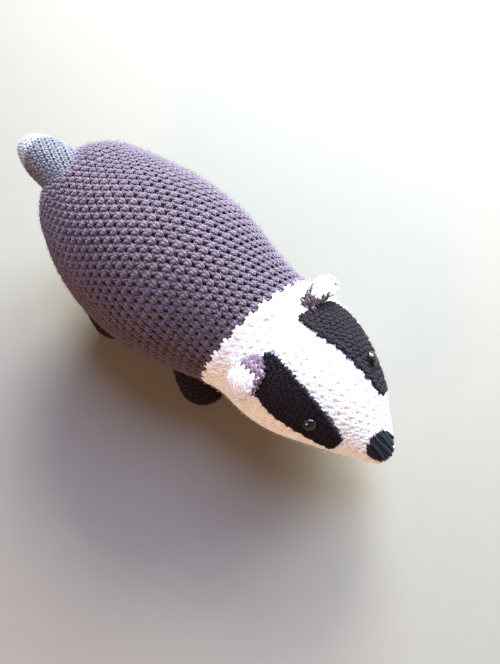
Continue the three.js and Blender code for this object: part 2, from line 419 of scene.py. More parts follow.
@dataclass
class Shell:
    """Points, faces and per-corner maps of a mesh that is being made."""

    points: list = field(default_factory=list)
    faces: list = field(default_factory=list)
    corners: list = field(default_factory=list)
    crest: list = field(default_factory=list)
    tone: list = field(default_factory=list)
    number: list = field(default_factory=list)

    def add(
        self,
        points: np.ndarray,
        faces: list,
        corners: list,
        crest: np.ndarray,
        tone: object = 0.0,
        number: int = -1,
    ) -> None:
        """Adds a closed part.

        Args:
            points: its points.
            faces: its faces, as tuples of point numbers.
            corners: for each face, each corner's place on the strand map.
            crest: for each point, 0 in the depth of the cloth to 1 on top.
            tone: 0 for the first yarn, 1 for the second, for all points or for each.
            number: its number on the bake map, or -1 for a lining.
        """
        first = sum(len(part) for part in self.points)
        self.points.append(points)
        self.faces += [tuple(k + first for k in face) for face in faces]
        self.corners += corners
        self.crest.append(crest)
        self.tone.append(np.broadcast_to(np.float32(tone), len(points)))
        self.number.append(np.full(len(points), number, np.int32))

    def mesh(self, name: str, whole: bool = True) -> bpy.types.Mesh:
        """The mesh with its map and attributes.

        Args:
            name: the mesh's name.
            whole: whether it carries yarn, tint and number too, which a stitch to be laid
                takes from its place.

        Returns:
            The mesh.
        """
        mesh = bpy.data.meshes.new(name)
        points = np.concatenate(self.points)
        mesh.from_pydata(points.tolist(), [], self.faces)
        layer = mesh.uv_layers.new(name=STRAND_MAP)
        flat = np.array([place for face in self.corners for place in face], np.float32)
        layer.data.foreach_set("uv", flat.ravel())
        tables = {"crest": ("FLOAT", np.concatenate(self.crest).astype(np.float32))}
        if whole:
            tables["tone"] = ("FLOAT", np.concatenate(self.tone))
            tables["tint"] = ("FLOAT", np.full(len(points), 0.5, np.float32))
            tables["number"] = ("INT", np.concatenate(self.number))
        for key, (kind, values) in tables.items():
            mesh.attributes.new(key, kind, "POINT").data.foreach_set("value", values)
        mesh.polygons.foreach_set("use_smooth", [True] * len(mesh.polygons))
        mesh.update()
        return mesh


def tube(rings: np.ndarray, poles: tuple, crest: np.ndarray, run: np.ndarray) -> tuple:
    """A closed tube of rings with a pole at each end.

    Args:
        rings: points by ring and by side; seen along the tube, the sides turn clockwise.
        poles: the point before the first ring and the one after the last.
        crest: the crest value of each ring, then of the two poles.
        run: the first map coordinate of each ring, then of the two poles.

    Returns:
        Points, faces, map corners and crest values, for Shell.add.
    """
    count, sides, _ = rings.shape
    points = np.concatenate([rings.reshape(-1, 3), np.array(poles)])
    faces, corners = [], []
    back, front = count * sides, count * sides + 1
    for k in range(sides):
        n = (k + 1) % sides
        u, v = k / sides, (k + 1) / sides
        faces.append((back, n, k))
        corners.append([(run[-2], u), (run[0], v), (run[0], u)])
        for r in range(count - 1):
            low, high = r * sides, (r + 1) * sides
            faces.append((low + k, low + n, high + n, high + k))
            corners.append([(run[r], u), (run[r], v), (run[r + 1], v), (run[r + 1], u)])
        last = (count - 1) * sides
        faces.append((front, last + k, last + n))
        corners.append([(run[-1], u), (run[count - 1], u), (run[count - 1], v)])
    values = np.r_[np.repeat(crest[:-2], sides), crest[-2:]]
    return points, faces, corners, values


def even_run(rings: int, edge: float = 0.05) -> np.ndarray:
    """The first map coordinate of a tube's rings, then of its two poles."""
    return np.r_[np.linspace(edge, 1 - edge, rings), 0.0, 1.0]


def rings_around(
    line: np.ndarray,
    along: np.ndarray,
    away: np.ndarray,
    size: np.ndarray,
    sides: int,
    flat: float = 1.0,
) -> np.ndarray:
    """Rings of points around a line.

    Args:
        line: the line's points.
        along: its direction at each of them.
        away: the direction towards the first point of each ring.
        size: the rings' radii.
        sides: points around it.
        flat: the rings' height for their width.

    Returns:
        The points, by ring and by side.
    """
    side = unit(np.cross(along, away))
    top = np.cross(side, along)
    around = FULL_TURN * np.arange(sides) / sides
    lift = np.cos(around)[None, :, None] * top[:, None] * flat
    spread = np.sin(around)[None, :, None] * side[:, None]
    return line[:, None] + size[:, None, None] * (lift + spread)


def add_yarn(
    shell: Shell,
    line: np.ndarray,
    radius: float,
    away: np.ndarray,
    number: int,
    sides: int = 7,
    taper: float = 0.35,
    tip: float = 0.6,
) -> None:
    """Adds a plain length of yarn.

    Args:
        shell: the mesh that is being made.
        line: its middle line, in metres.
        radius: its radius, in millimetres.
        away: the direction out of the cloth.
        number: its number on the bake map.
        sides: points around it.
        taper: how much thinner it is at its ends, as a share.
        tip: how far its ends stand out, in radii.
    """
    along = unit(np.gradient(line, axis=0))
    share = np.linspace(-1, 1, len(line))
    size = radius * MM * (1 - taper * share**4)
    rings = rings_around(line, along, away, size, sides)
    poles = line[[0, -1]] + along[[0, -1]] * np.array([[-tip], [tip]]) * radius * MM
    crest = np.ones(len(line) + 2)
    shell.add(*tube(rings, poles, crest, even_run(len(line))), number=number)


def lay_bake_map(
    mesh: bpy.types.Mesh,
    strip: float = 0.14,
    most: int = 5,
    margin: float = 0.06,
    used: float = 0.96,
) -> None:
    """Gives each stitch its own patch of the bake map, and the lining the lowest strip.

    Args:
        mesh: a finished mesh with the strand map and the number attribute.
        strip: the height of the lining's strip.
        most: the most strands that share a number.
        margin: the share left free at each edge of a strand's place.
        used: the share of its strip that the lining takes.
    """
    corners = len(mesh.loops)
    place = np.zeros(corners * 2, np.float32)
    mesh.uv_layers[STRAND_MAP].uv.foreach_get("vector", place)
    place = place.reshape(-1, 2)
    number = np.zeros(len(mesh.vertices), np.int32)
    mesh.attributes["number"].data.foreach_get("value", number)
    vertex = np.zeros(corners, np.int32)
    mesh.loops.foreach_get("vertex_index", vertex)
    owner = number[vertex]
    count = int(owner.max()) + 1
    columns = max(math.ceil(math.sqrt(count)), 1)
    rows = max(math.ceil(count / columns), 1)
    cell = np.stack([owner % columns, owner // columns], axis=1)
    strand = np.clip(np.floor(place[:, 0] - TINY), 0, most - 1)
    inner = 1 - 2 * margin
    across = (strand + margin + inner * place[:, 1]) / most
    up = margin + inner * np.clip(place[:, 0] - strand, 0, 1)
    spot = (cell + np.stack([across, up], axis=1)) / (columns, rows)
    spot[:, 1] = strip + (1 - strip) * spot[:, 1]
    under = place * (1, strip * used)
    baked = np.where((owner < 0)[:, None], under, spot)
    layer = mesh.uv_layers.new(name=BAKE_MAP)
    layer.uv.foreach_set("vector", baked.astype(np.float32).ravel())


@dataclass(frozen=True)
class Strand:
    """A plump end of yarn: where it dives in, its top, where it dives back, and its radius.

    Ends is how thick it is where it dives, for its thickness at the top, and flat its height
    for its width. Its rings start and stop an inset from its poles, as a share of its line.
    Crest values rise from 0 at the hollow's height in the stitch to 1 at the summit's, and set the
    painted shade, darker towards the hollow.
    """

    start: tuple
    top: tuple
    end: tuple
    radius: float
    rings: int = 4
    sides: int = 5
    ends: float = 0.66
    flat: float = 0.9
    inset: float = 0.1
    hollow: float = -2.0
    summit: float = 0.5

    def line(self, share: np.ndarray) -> np.ndarray:
        """Points of the strand's middle line.

        Args:
            share: places along it, from 0 to 1.

        Returns:
            The points, one a row.
        """
        a, b, c = (np.array(p, float) for p in (self.start, self.top, self.end))
        share = np.asarray(share, float)[:, None]
        early = a * (1 - share) * (1 - 2 * share)
        late = c * share * (2 * share - 1)
        return early + 4 * b * share * (1 - share) + late

    def add_to(self, shell: Shell, number: int, step: float = 0.02) -> None:
        """Adds the strand to a stitch.

        Args:
            shell: the stitch that is being made.
            number: the strand's number in it, which offsets its map.
            step: the step along its line that gives the line's direction.
        """
        share = np.linspace(self.inset, 1 - self.inset, self.rings)
        along = unit(self.line(share + step) - self.line(share - step))
        size = self.radius * (self.ends + (1 - self.ends) * np.sin(math.pi * share))
        line = self.line(share)
        rings = rings_around(line, along, np.array(UP), size, self.sides, self.flat)
        poles = self.line(np.array([0.0, 1.0]))
        height = np.r_[rings[:, :, 2].max(axis=1), poles[:, 2]]
        crest = np.clip((height - self.hollow) / (self.summit - self.hollow), 0, 1)
        run = np.r_[share, 0, 1] + number
        shell.add(*tube(rings, poles, crest, run))


@dataclass(frozen=True)
class CrochetStitch:
    """One single crochet, in a frame with x along its round, y on to the next and z outward.

    Its strands are two arms, which rise from the holes behind it and meet in a V whose tip
    points along y, a bar that crosses beside the next hole, and low ones that fill between.
    Width and height are the space it is drawn for, in millimetres.
    """

    name: str
    strands: tuple
    width: float = 5.05
    height: float = 5.15

    def build(self) -> bpy.types.Object:
        """Makes the stitch once, to be laid many times.

        Returns:
            An object in millimetres.
        """
        shell = Shell()
        for number, strand in enumerate(self.strands):
            strand.add_to(shell, number)
        return put(self.name, shell.mesh(self.name, whole=False))


FIRM = CrochetStitch(
    "firm_stitch",
    (
        Strand((-1.5, -2.0, -2.1), (-0.68, -0.35, -0.3), (-0.3, 1.9, -1.6), 1.08),
        Strand((2.1, -1.9, -2.1), (0.75, -0.25, -0.3), (-0.1, 2.0, -1.6), 1.08),
        Strand((3.2, 0.2, -1.7), (2.3, 1.9, -0.55), (1.4, 3.6, -1.7), 1.02, 3),
        Strand((0.3, 0.8, -1.6), (2.45, 0.0, -0.85), (4.6, 0.8, -1.6), 1.12, 3, 4),
        Strand((0.1, 1.3, -1.6), (0.95, 2.9, -1.1), (1.7, 4.6, -1.7), 1.0, 3, 4),
    ),
)
FLUFFY = CrochetStitch(
    "fluffy_stitch",
    (
        Strand((-1.9, -2.2, -1.4), (-0.95, -0.3, -0.8), (-0.35, 2.1, -1.2), 1.3, ends=0.85),
        Strand((2.6, -1.9, -1.4), (1.0, -0.2, -0.8), (-0.15, 2.2, -1.2), 1.3, ends=0.85),
        Strand((3.2, 0.1, -1.3), (2.35, 1.95, -0.85), (1.5, 3.7, -1.3), 1.3, 3, ends=0.85),
        Strand((0.3, 0.8, -1.3), (2.45, 0.1, -0.95), (4.6, 0.8, -1.3), 1.3, 3, 4),
        Strand((0.1, 1.3, -1.3), (0.95, 2.9, -0.98), (1.7, 4.6, -1.3), 1.3, 3, 4),
    ),
)
FUZZ = CrochetStitch(
    "fuzz",
    (
        Strand((-1.0, -0.8, -0.4), (-1.5, -0.1, 1.0), (-2.7, 0.5, 1.3), 0.075, 3, 3, 0.4),
        Strand((0.9, 0.2, -0.4), (1.0, 1.3, 0.9), (0.2, 2.6, 1.7), 0.07, 3, 3, 0.4),
        Strand((2.2, 1.9, -0.8), (3.0, 1.6, 0.6), (4.0, 2.2, 0.9), 0.07, 3, 3, 0.4),
    ),
)


class Kind(Enum):
    """What a shader socket carries."""

    NUMBER = "number"
    COLOUR = "colour"
    VECTOR = "vector"


def pick_socket(sockets: object, key: object) -> bpy.types.NodeSocket:
    """Finds a socket of a node.

    Args:
        sockets: the node's inputs or outputs.
        key: the socket's identifier, name or number.

    Returns:
        The socket.
    """
    if isinstance(key, int):
        return sockets[key]
    for socket in sockets:
        if socket.identifier == key:
            return socket
    return sockets[key]


class Wire:
    """A shader socket that takes part in sums, each through the node that suits its kind."""

    def __init__(
        self, board: "Board", socket: bpy.types.NodeSocket, kind: Kind = Kind.NUMBER
    ) -> None:
        """Wraps a socket.

        Args:
            board: the material whose node it belongs to.
            socket: the socket.
            kind: what it carries.
        """
        self.board = board
        self.socket = socket
        self.kind = kind

    def join(self, operation: str, first: object, second: object) -> "Wire":
        """Joins two values in a node.

        Args:
            operation: what the node does with them.
            first: a value or a wire.
            second: another; one of the two is this wire.

        Returns:
            The outcome.
        """
        kinds = {x.kind for x in (first, second) if isinstance(x, Wire)}
        if Kind.COLOUR in kinds:
            settings = {"data_type": "RGBA", "blend_type": operation}
            values = {"Factor_Float": 1.0, "A_Color": first, "B_Color": second}
            return self.board.node("ShaderNodeMix", settings, values, "Result_Color", Kind.COLOUR)
        values, settings = {0: first, 1: second}, {"operation": operation}
        if Kind.VECTOR in kinds:
            return self.board.node("ShaderNodeVectorMath", settings, values, 0, Kind.VECTOR)
        return self.board.node("ShaderNodeMath", settings, values)

    def __add__(self, other: object) -> "Wire":
        """This plus another."""
        return self.join("ADD", self, other)

    def __radd__(self, other: object) -> "Wire":
        """Another plus this."""
        return self.join("ADD", other, self)

    def __rsub__(self, other: object) -> "Wire":
        """Another less this."""
        return self.join("SUBTRACT", other, self)

    def __mul__(self, other: object) -> "Wire":
        """This times another."""
        return self.join("MULTIPLY", self, other)

    def wave(self) -> "Wire":
        """The sine of this, between 0 and 1."""
        sine = self.board.node("ShaderNodeMath", {"operation": "SINE"}, {0: self})
        return sine * 0.5 + 0.5

    def eased(self, low: float, high: float) -> "Wire":
        """Turns this into a smooth step.

        Args:
            low: where it starts to rise from 0.
            high: where it comes to 1.

        Returns:
            The step.
        """
        settings = {"interpolation_type": "SMOOTHSTEP"}
        values = {"Value": self, "From Min": low, "From Max": high}
        return self.board.node("ShaderNodeMapRange", settings, values)

    def about_one(self, spread: float) -> "Wire":
        """This, which goes from 0 to 1, as a factor about 1."""
        return (1 - spread / 2) + self * spread


class Board:
    """The nodes of one material."""

    def __init__(self, name: str) -> None:
        """Starts a material without nodes.

        Args:
            name: the material's name.
        """
        self.material = bpy.data.materials.new(name)
        self.material.use_nodes = True
        self.nodes = self.material.node_tree.nodes
        self.links = self.material.node_tree.links
        self.nodes.clear()

    def node(
        self,
        kind: str,
        settings: dict,
        values: dict,
        out: object = 0,
        made: Kind = Kind.NUMBER,
    ) -> Wire:
        """Adds a node.

        Args:
            kind: the node's type.
            settings: properties to set before its sockets are used.
            values: values or wires of its inputs, by identifier, name or number.
            out: identifier, name or number of the output that is wanted.
            made: what that output carries.

        Returns:
            The output as a wire.
        """
        node = self.nodes.new(kind)
        for key, value in settings.items():
            setattr(node, key, value)
        for key, value in values.items():
            socket = pick_socket(node.inputs, key)
            if isinstance(value, Wire):
                self.links.new(value.socket, socket)
            elif isinstance(value, tuple) and len(value) == 3 and socket.type == "RGBA":
                socket.default_value = (*value, 1.0)
            else:
                socket.default_value = value
        return Wire(self, pick_socket(node.outputs, out), made)

    def blend(self, share: object, first: object, second: object) -> Wire:
        """Blends two colours.

        Args:
            share: how much of the second, from 0 to 1.
            first: the first colour.
            second: the second colour.

        Returns:
            The colour between them.
        """
        values = {"Factor_Float": share, "A_Color": first, "B_Color": second}
        settings = {"data_type": "RGBA"}
        return self.node("ShaderNodeMix", settings, values, "Result_Color", Kind.COLOUR)

    def place(self) -> Wire:
        """The place on the toy, in metres."""
        return self.node("ShaderNodeTexCoord", {}, {}, "Object", Kind.VECTOR)

    def vector(self, length: Wire) -> Wire:
        """A number as a vector along all three axes."""
        values = {"X": length, "Y": length, "Z": length}
        return self.node("ShaderNodeCombineXYZ", {}, values, 0, Kind.VECTOR)

    def grey(self, shade: Wire) -> Wire:
        """A number as a grey colour."""
        values = {"Red": shade, "Green": shade, "Blue": shade}
        return self.node("ShaderNodeCombineColor", {}, values, 0, Kind.COLOUR)

    def value_of(self, attribute: str) -> Wire:
        """A number attribute of the mesh."""
        return self.node("ShaderNodeAttribute", {"attribute_name": attribute}, {}, "Fac")

    def noise(self, place: object, scale: float, detail: float, rough: float = 0.5) -> Wire:
        """A noise by place, between 0 and 1."""
        links = {"Vector": place, "Scale": scale, "Detail": detail, "Roughness": rough}
        return self.node("ShaderNodeTexNoise", {}, links, "Fac")

    def bump(self, strength: float, depth: float, height: Wire) -> Wire:
        """Normals of a finely bumpy surface.

        Args:
            strength: how much of the bumps shows.
            depth: their depth in millimetres.
            height: the height over the surface, from 0 to 1.

        Returns:
            The normals.
        """
        values = {"Strength": strength, "Distance": depth * MM, "Height": height}
        return self.node("ShaderNodeBump", {}, values, "Normal", Kind.VECTOR)

    def surface(self, values: dict) -> bpy.types.Material:
        """Ends the material in one glossy or matt surface.

        Args:
            values: values or wires of the surface's inputs.

        Returns:
            The finished material.
        """
        shader = self.node("ShaderNodeBsdfPrincipled", {}, values)
        output = self.nodes.new("ShaderNodeOutputMaterial")
        self.links.new(shader.socket, output.inputs["Surface"])
        return self.material


@dataclass(frozen=True)
class Dye:
    """A yarn's colour on top of a strand, and painted shade: a darker colour for its flanks and the
    darkest where it dives in and on the lining.
    """

    crest: tuple
    side: tuple
    deep: tuple


# White yarn; its side and deep colours are painted shade, faint lavender in the holes.
WHITE = Dye(crest=(0.88, 0.86, 0.88), side=(0.87, 0.83, 0.86), deep=(0.72, 0.65, 0.73))


@dataclass(frozen=True)
class YarnFinish:
    """Spun yarn, of two dyes where stitches with tone 1 are worked in another.

    Marl is how much of the first yarn is spun with a darker ply, and marl_less how much less of
    that the second has. It shows in streaks along the strands, which a noise over the streak_step
    makes and which streak_shift moves from stitch to stitch. Plies is how many the yarn has, and
    twist their turns over a strand. The dyes paint shade on each strand: its darker flank colour
    shows from flank_step on and its crest colour from crest_step on, over the deep colour where it
    dives in. Uneven, patchy, grooved and woolly are how much the shade changes from stitch to
    stitch, from patch to patch, between plies and between fibres; the change between plies is
    painted shade in their grooves.
    """

    name: str
    first: Dye
    second: Dye = WHITE
    marl: float = 0.0
    marl_colour: tuple = (0.05, 0.04, 0.06)
    sheen: float = 0.35
    sheen_tint: tuple = (0.9, 0.88, 1.0)
    sheen_roughness: float = 0.45
    uneven: float = 0.24
    patchy: float = 0.28
    grooved: float = 0.2
    woolly: float = 0.56
    plies: float = 3.0
    twist: float = 4.0
    bump: float = 0.5
    bump_depth: float = 0.25
    roughness: float = 0.84
    gloss: float = 0.22
    fibre_scale: float = 1700.0
    patch_scale: float = 160.0
    streak_scale: float = 5.0
    streak_shift: float = 37.0
    streak_step: tuple = (0.5, 0.64)
    marl_less: float = 0.6
    flank_step: tuple = (0.1, 0.7)
    crest_step: tuple = (0.45, 1.0)

    def material(self) -> bpy.types.Material:
        """Makes the yarn's material.

        Returns:
            The material.
        """
        board = Board(self.name)
        strand = board.node("ShaderNodeUVMap", {"uv_map": STRAND_MAP}, {}, 0, Kind.VECTOR)
        run = board.node("ShaderNodeSeparateXYZ", {}, {0: strand}, "X")
        around = board.node("ShaderNodeSeparateXYZ", {}, {0: strand}, "Y")
        crest, tone, tint = (board.value_of(key) for key in ("crest", "tone", "tint"))
        ply = (run * (self.twist * FULL_TURN) + around * (self.plies * FULL_TURN)).wave()
        fibre = board.noise(board.place(), self.fibre_scale, 4.0, 0.65)
        patch = board.noise(board.place(), self.patch_scale, 2.0)
        top = board.blend(tone, self.first.crest, self.second.crest)
        flank = board.blend(tone, self.first.side, self.second.side)
        low = board.blend(tone, self.first.deep, self.second.deep)
        if self.marl > 0:
            own = board.vector(tint * self.streak_shift)
            streak = board.noise(strand + own, self.streak_scale, 2.0)
            spun = (streak + ply * 0.12).eased(*self.streak_step) * self.marl
            top = board.blend(spun * (1 - tone * self.marl_less), top, self.marl_colour)
        # Painted shade: the deep colour where a strand dives in and on the lining, the flank colour
        # on its sides, the crest colour on top.
        colour = board.blend(crest.eased(*self.flank_step), low, flank)
        colour = board.blend(crest.eased(*self.crest_step), colour, top)
        shade = tint.about_one(self.uneven) * patch.about_one(self.patchy)
        # The ply term is painted shade in the grooves between plies; tint, patch and fibre are the
        # yarn's own uneven tone.
        shade = shade * ((1 - self.grooved) + ply * self.grooved) * fibre.about_one(self.woolly)
        return board.surface(
            {
                "Base Color": colour * board.grey(shade),
                "Roughness": self.roughness + fibre * (1 - self.roughness),
                "Specular IOR Level": self.gloss,
                "Sheen Weight": self.sheen,
                "Sheen Roughness": self.sheen_roughness,
                "Sheen Tint": self.sheen_tint,
                "Normal": board.bump(self.bump, self.bump_depth, ply + fibre * 0.9),
            }
        )


@dataclass(frozen=True)
class EyeFinish:
    """Polished dark plastic with faint lighter clouds and fine scratches."""

    name: str = "polished_eye"
    colour: tuple = (0.006, 0.005, 0.006)
    cloud: tuple = (0.035, 0.026, 0.022)
    cloud_scale: float = 420.0
    cloud_step: tuple = (0.42, 0.7)
    scratch_scale: float = 3200.0
    scratched: float = 0.08
    roughness: float = 0.1
    gloss: float = 0.4
    bump: float = 0.05
    bump_depth: float = 0.05

    def material(self) -> bpy.types.Material:
        """Makes the plastic's material.

        Returns:
            The material.
        """
        board = Board(self.name)
        cloud = board.noise(board.place(), self.cloud_scale, 2.0)
        scratch = board.noise(board.place(), self.scratch_scale, 3.0)
        return board.surface(
            {
                "Base Color": board.blend(cloud.eased(*self.cloud_step), self.colour, self.cloud),
                "Roughness": self.roughness + scratch * self.scratched,
                "Specular IOR Level": self.gloss,
                "Normal": board.bump(self.bump, self.bump_depth, scratch),
            }
        )


@dataclass(frozen=True)
class FloorFinish:
    """A plain pale floor with a faint grain."""

    name: str = "pale_floor"
    colour: tuple = (0.175, 0.15, 0.13)
    grain: float = 1.04
    grain_scale: float = 60.0
    roughness: float = 0.9

    def material(self) -> bpy.types.Material:
        """Makes the floor's material.

        Returns:
            The material.
        """
        board = Board(self.name)
        grain = board.noise(board.place(), self.grain_scale, 4.0)
        lighter = tuple(c * self.grain for c in self.colour)
        colour = board.blend(grain, self.colour, lighter)
        return board.surface({"Base Color": colour, "Roughness": self.roughness})


class Draw(Enum):
    """What is drawn at random for each stitch; the value is added to the piece's seed."""

    SIZE = 1
    TURN = 2
    TINT = 3
    FUZZ_SIZE = 4
    FUZZ_TURN = 5


@dataclass
class Loom:
    """Lays stitches over linings: one node tree, used by every crocheted piece.

    The stitches are the kinds that pieces may use, and the fuzz: the stray fibres, laid on
    each stitch again, in sizes from the smallest to the greatest of fuzz_sizes.
    """

    stitches: tuple
    fuzz_sizes: tuple = (0.6, 1.25)
    inputs: dict = field(
        default_factory=lambda: {
            "Lining": "NodeSocketGeometry",
            "Points": "NodeSocketObject",
            "Stitch": "NodeSocketObject",
            "Fuzz": "NodeSocketObject",
            "Yarn": "NodeSocketMaterial",
            "Unevenness": "NodeSocketFloat",
            "Wobble": "NodeSocketFloat",
            "Seed": "NodeSocketInt",
        }
    )

    def __post_init__(self) -> None:
        """Makes the stitches and the tree with its named inputs."""
        self.sources = {stitch: stitch.build() for stitch in self.stitches}
        self.tree = bpy.data.node_groups.new("lay_stitches", "GeometryNodeTree")
        self.sockets = {}
        for name, kind in self.inputs.items():
            made = self.tree.interface.new_socket(name, in_out="INPUT", socket_type=kind)
            self.sockets[name] = made.identifier
        self.tree.interface.new_socket("Cloth", in_out="OUTPUT", socket_type="NodeSocketGeometry")
        self.given = self.node("NodeGroupInput", {}, {}).outputs
        self.draw_tree()

    def node(self, kind: str, settings: dict, values: dict) -> bpy.types.Node:
        """Adds a node to the tree.

        Args:
            kind: the node's type.
            settings: properties to set before its sockets are used.
            values: values or sockets for its inputs, by identifier, name or number.

        Returns:
            The node.
        """
        node = self.tree.nodes.new(kind)
        for key, value in settings.items():
            setattr(node, key, value)
        for key, value in values.items():
            socket = pick_socket(node.inputs, key)
            if isinstance(value, bpy.types.NodeSocket):
                self.tree.links.new(value, socket)
            else:
                socket.default_value = value
        return node

    def attribute(self, name: str, kind: str) -> bpy.types.NodeSocket:
        """A named attribute of the stitches' places."""
        settings = {"data_type": kind}
        return self.node("GeometryNodeInputNamedAttribute", settings, {"Name": name}).outputs[0]

    def sum(self, operation: str, first: object, second: object) -> bpy.types.NodeSocket:
        """The outcome of an operation on two numbers."""
        settings = {"operation": operation}
        return self.node("ShaderNodeMath", settings, {0: first, 1: second}).outputs[0]

    def random(self, low: object, high: object, draw: Draw) -> bpy.types.NodeSocket:
        """Draws a number for each stitch.

        Args:
            low: the least it may be.
            high: the most.
            draw: what is drawn.

        Returns:
            The number.
        """
        terms = {0: self.given["Seed"], 1: draw.value}
        seed = self.node("FunctionNodeIntegerMath", {"operation": "ADD"}, terms).outputs[0]
        values = {"Min_001": low, "Max_001": high, "Seed": seed}
        drawn = self.node("FunctionNodeRandomValue", {"data_type": "FLOAT"}, values)
        return pick_socket(drawn.outputs, "Value_001")

    def lay(
        self,
        what: str,
        size: bpy.types.NodeSocket,
        turn: bpy.types.NodeSocket,
        where: object = True,
    ) -> bpy.types.NodeSocket:
        """Lays one of the given objects on the stitches' places.

        Args:
            what: the input that holds the object.
            size: its size, for that of the stitch.
            turn: how far it is turned about the way out of the cloth, in radians.
            where: the places that get one.

        Returns:
            The laid objects.
        """
        source = self.node("GeometryNodeObjectInfo", {}, {"Object": self.given[what]})
        places = self.node("GeometryNodeObjectInfo", {}, {"Object": self.given["Points"]})
        tip = self.node("FunctionNodeAxisAngleToRotation", {}, {"Axis": UP, "Angle": turn})
        turned = self.node(
            "FunctionNodeRotateRotation",
            {"rotation_space": "LOCAL"},
            {"Rotation": self.attribute("turn", "QUATERNION"), "Rotate By": tip.outputs[0]},
        )
        values = {0: self.attribute("span", "FLOAT_VECTOR"), "Scale": size}
        grown = self.node("ShaderNodeVectorMath", {"operation": "SCALE"}, values)
        values = {
            "Points": places.outputs["Geometry"],
            "Selection": where,
            "Instance": source.outputs["Geometry"],
            "Rotation": turned.outputs[0],
            "Scale": grown.outputs[0],
        }
        return self.node("GeometryNodeInstanceOnPoints", {}, values).outputs[0]

    def draw_tree(self) -> None:
        """Builds the tree: stitches and fuzz on their places, made one mesh with the lining."""
        uneven, wobble = self.given["Unevenness"], self.given["Wobble"]
        less = self.sum("SUBTRACT", 1.0, uneven)
        more = self.sum("ADD", 1.0, uneven)
        size = self.random(less, more, Draw.SIZE)
        turn = self.random(self.sum("MULTIPLY", wobble, -1.0), wobble, Draw.TURN)
        fuzz_size = self.random(*self.fuzz_sizes, Draw.FUZZ_SIZE)
        fuzz_turn = self.random(0.0, FULL_TURN, Draw.FUZZ_TURN)
        laid = self.lay("Stitch", size, turn)
        fuzz = self.lay("Fuzz", fuzz_size, fuzz_turn, self.attribute("fuzzy", "BOOLEAN"))
        tint = self.random(0.0, 1.0, Draw.TINT)
        tinted = self.node(
            "GeometryNodeStoreNamedAttribute",
            {"data_type": "FLOAT", "domain": "INSTANCE"},
            {"Geometry": laid, "Name": "tint", "Value": tint},
        )
        joined = self.node("GeometryNodeJoinGeometry", {}, {})
        for part in (tinted.outputs[0], fuzz, self.given["Lining"]):
            self.tree.links.new(part, joined.inputs[0])
        solid = self.node("GeometryNodeRealizeInstances", {}, {"Geometry": joined.outputs[0]})
        values = {"Geometry": solid.outputs[0], "Material": self.given["Yarn"]}
        dyed = self.node("GeometryNodeSetMaterial", {}, values)
        self.node("NodeGroupOutput", {}, {"Cloth": dyed.outputs[0]})

    def points(
        self, laid: LaidStitches, stitch: CrochetStitch, bare: np.ndarray | None
    ) -> bpy.types.Object:
        """Makes an object whose points carry what each stitch needs.

        Args:
            laid: where the stitches lie.
            stitch: the kind of stitch.
            bare: which stitches have no fuzz, or none of them.

        Returns:
            The object, with each stitch's turn, size, yarn and number.
        """
        if bare is None:
            bare = np.zeros(len(laid.place), bool)
        mesh = bpy.data.meshes.new("stitch_places")
        mesh.from_pydata(laid.place.tolist(), [], [])
        turn = np.array([Matrix(f.tolist()).to_quaternion() for f in laid.frame], np.float32)
        width, height = laid.span.T
        thick = np.sqrt(width * height / (stitch.width * stitch.height))
        scale = [width / stitch.width, height / stitch.height, thick]
        tables = {
            "turn": ("QUATERNION", turn),
            "span": ("FLOAT_VECTOR", np.stack(scale, axis=1) * MM),
            "tone": ("FLOAT", laid.tone),
            "number": ("INT", np.arange(len(laid.place), dtype=np.int32)),
            "fuzzy": ("BOOLEAN", ~bare),
        }
        for name, (kind, values) in tables.items():
            layer = mesh.attributes.new(name, kind, "POINT")
            key = "vector" if kind == "FLOAT_VECTOR" else "value"
            plain = {"INT": np.int32, "BOOLEAN": bool}.get(kind, np.float32)
            layer.data.foreach_set(key, np.ascontiguousarray(values, plain).ravel())
        return put("stitch_places", mesh)

    def work(
        self,
        name: str,
        laid: LaidStitches,
        lining: Shell,
        yarn: bpy.types.Material,
        seed: int,
        stitch: CrochetStitch = FIRM,
        unevenness: float = 0.07,
        wobble: float = 0.12,
        bare: np.ndarray | None = None,
    ) -> bpy.types.Object:
        """Makes one crocheted piece.

        Args:
            name: the piece's name.
            laid: where its stitches lie.
            lining: the closed form under them, in the yarn's deep colour, which is painted shade.
            yarn: the material.
            seed: the seed of what is uneven.
            stitch: the kind of stitch.
            unevenness: how much stitches differ in size.
            wobble: how far they turn out of line, in radians.
            bare: which stitches have no fuzz, or none of them.

        Returns:
            The piece, as a plain mesh.
        """
        piece = put(name, lining.mesh(name + "_lining"))
        places = self.points(laid, stitch, bare)
        worked = piece.modifiers.new("stitches", "NODES")
        worked.node_group = self.tree
        settings = {
            "Points": places,
            "Stitch": self.sources[stitch],
            "Fuzz": self.sources[FUZZ],
            "Yarn": yarn,
            "Unevenness": unevenness,
            "Wobble": wobble,
            "Seed": seed,
        }
        for key, value in settings.items():
            worked[self.sockets[key]] = value
        whole = bpy.context.evaluated_depsgraph_get()
        mesh = bpy.data.meshes.new_from_object(piece.evaluated_get(whole))
        piece.modifiers.remove(worked)
        old, piece.data = piece.data, mesh
        bpy.data.meshes.remove(old)
        bpy.data.objects.remove(places)
        mesh.name = name
        lay_bake_map(mesh)
        return piece

    def put_away(self) -> None:
        """Removes the loose stitches once every piece is made."""
        for source in self.sources.values():
            bpy.data.objects.remove(source)


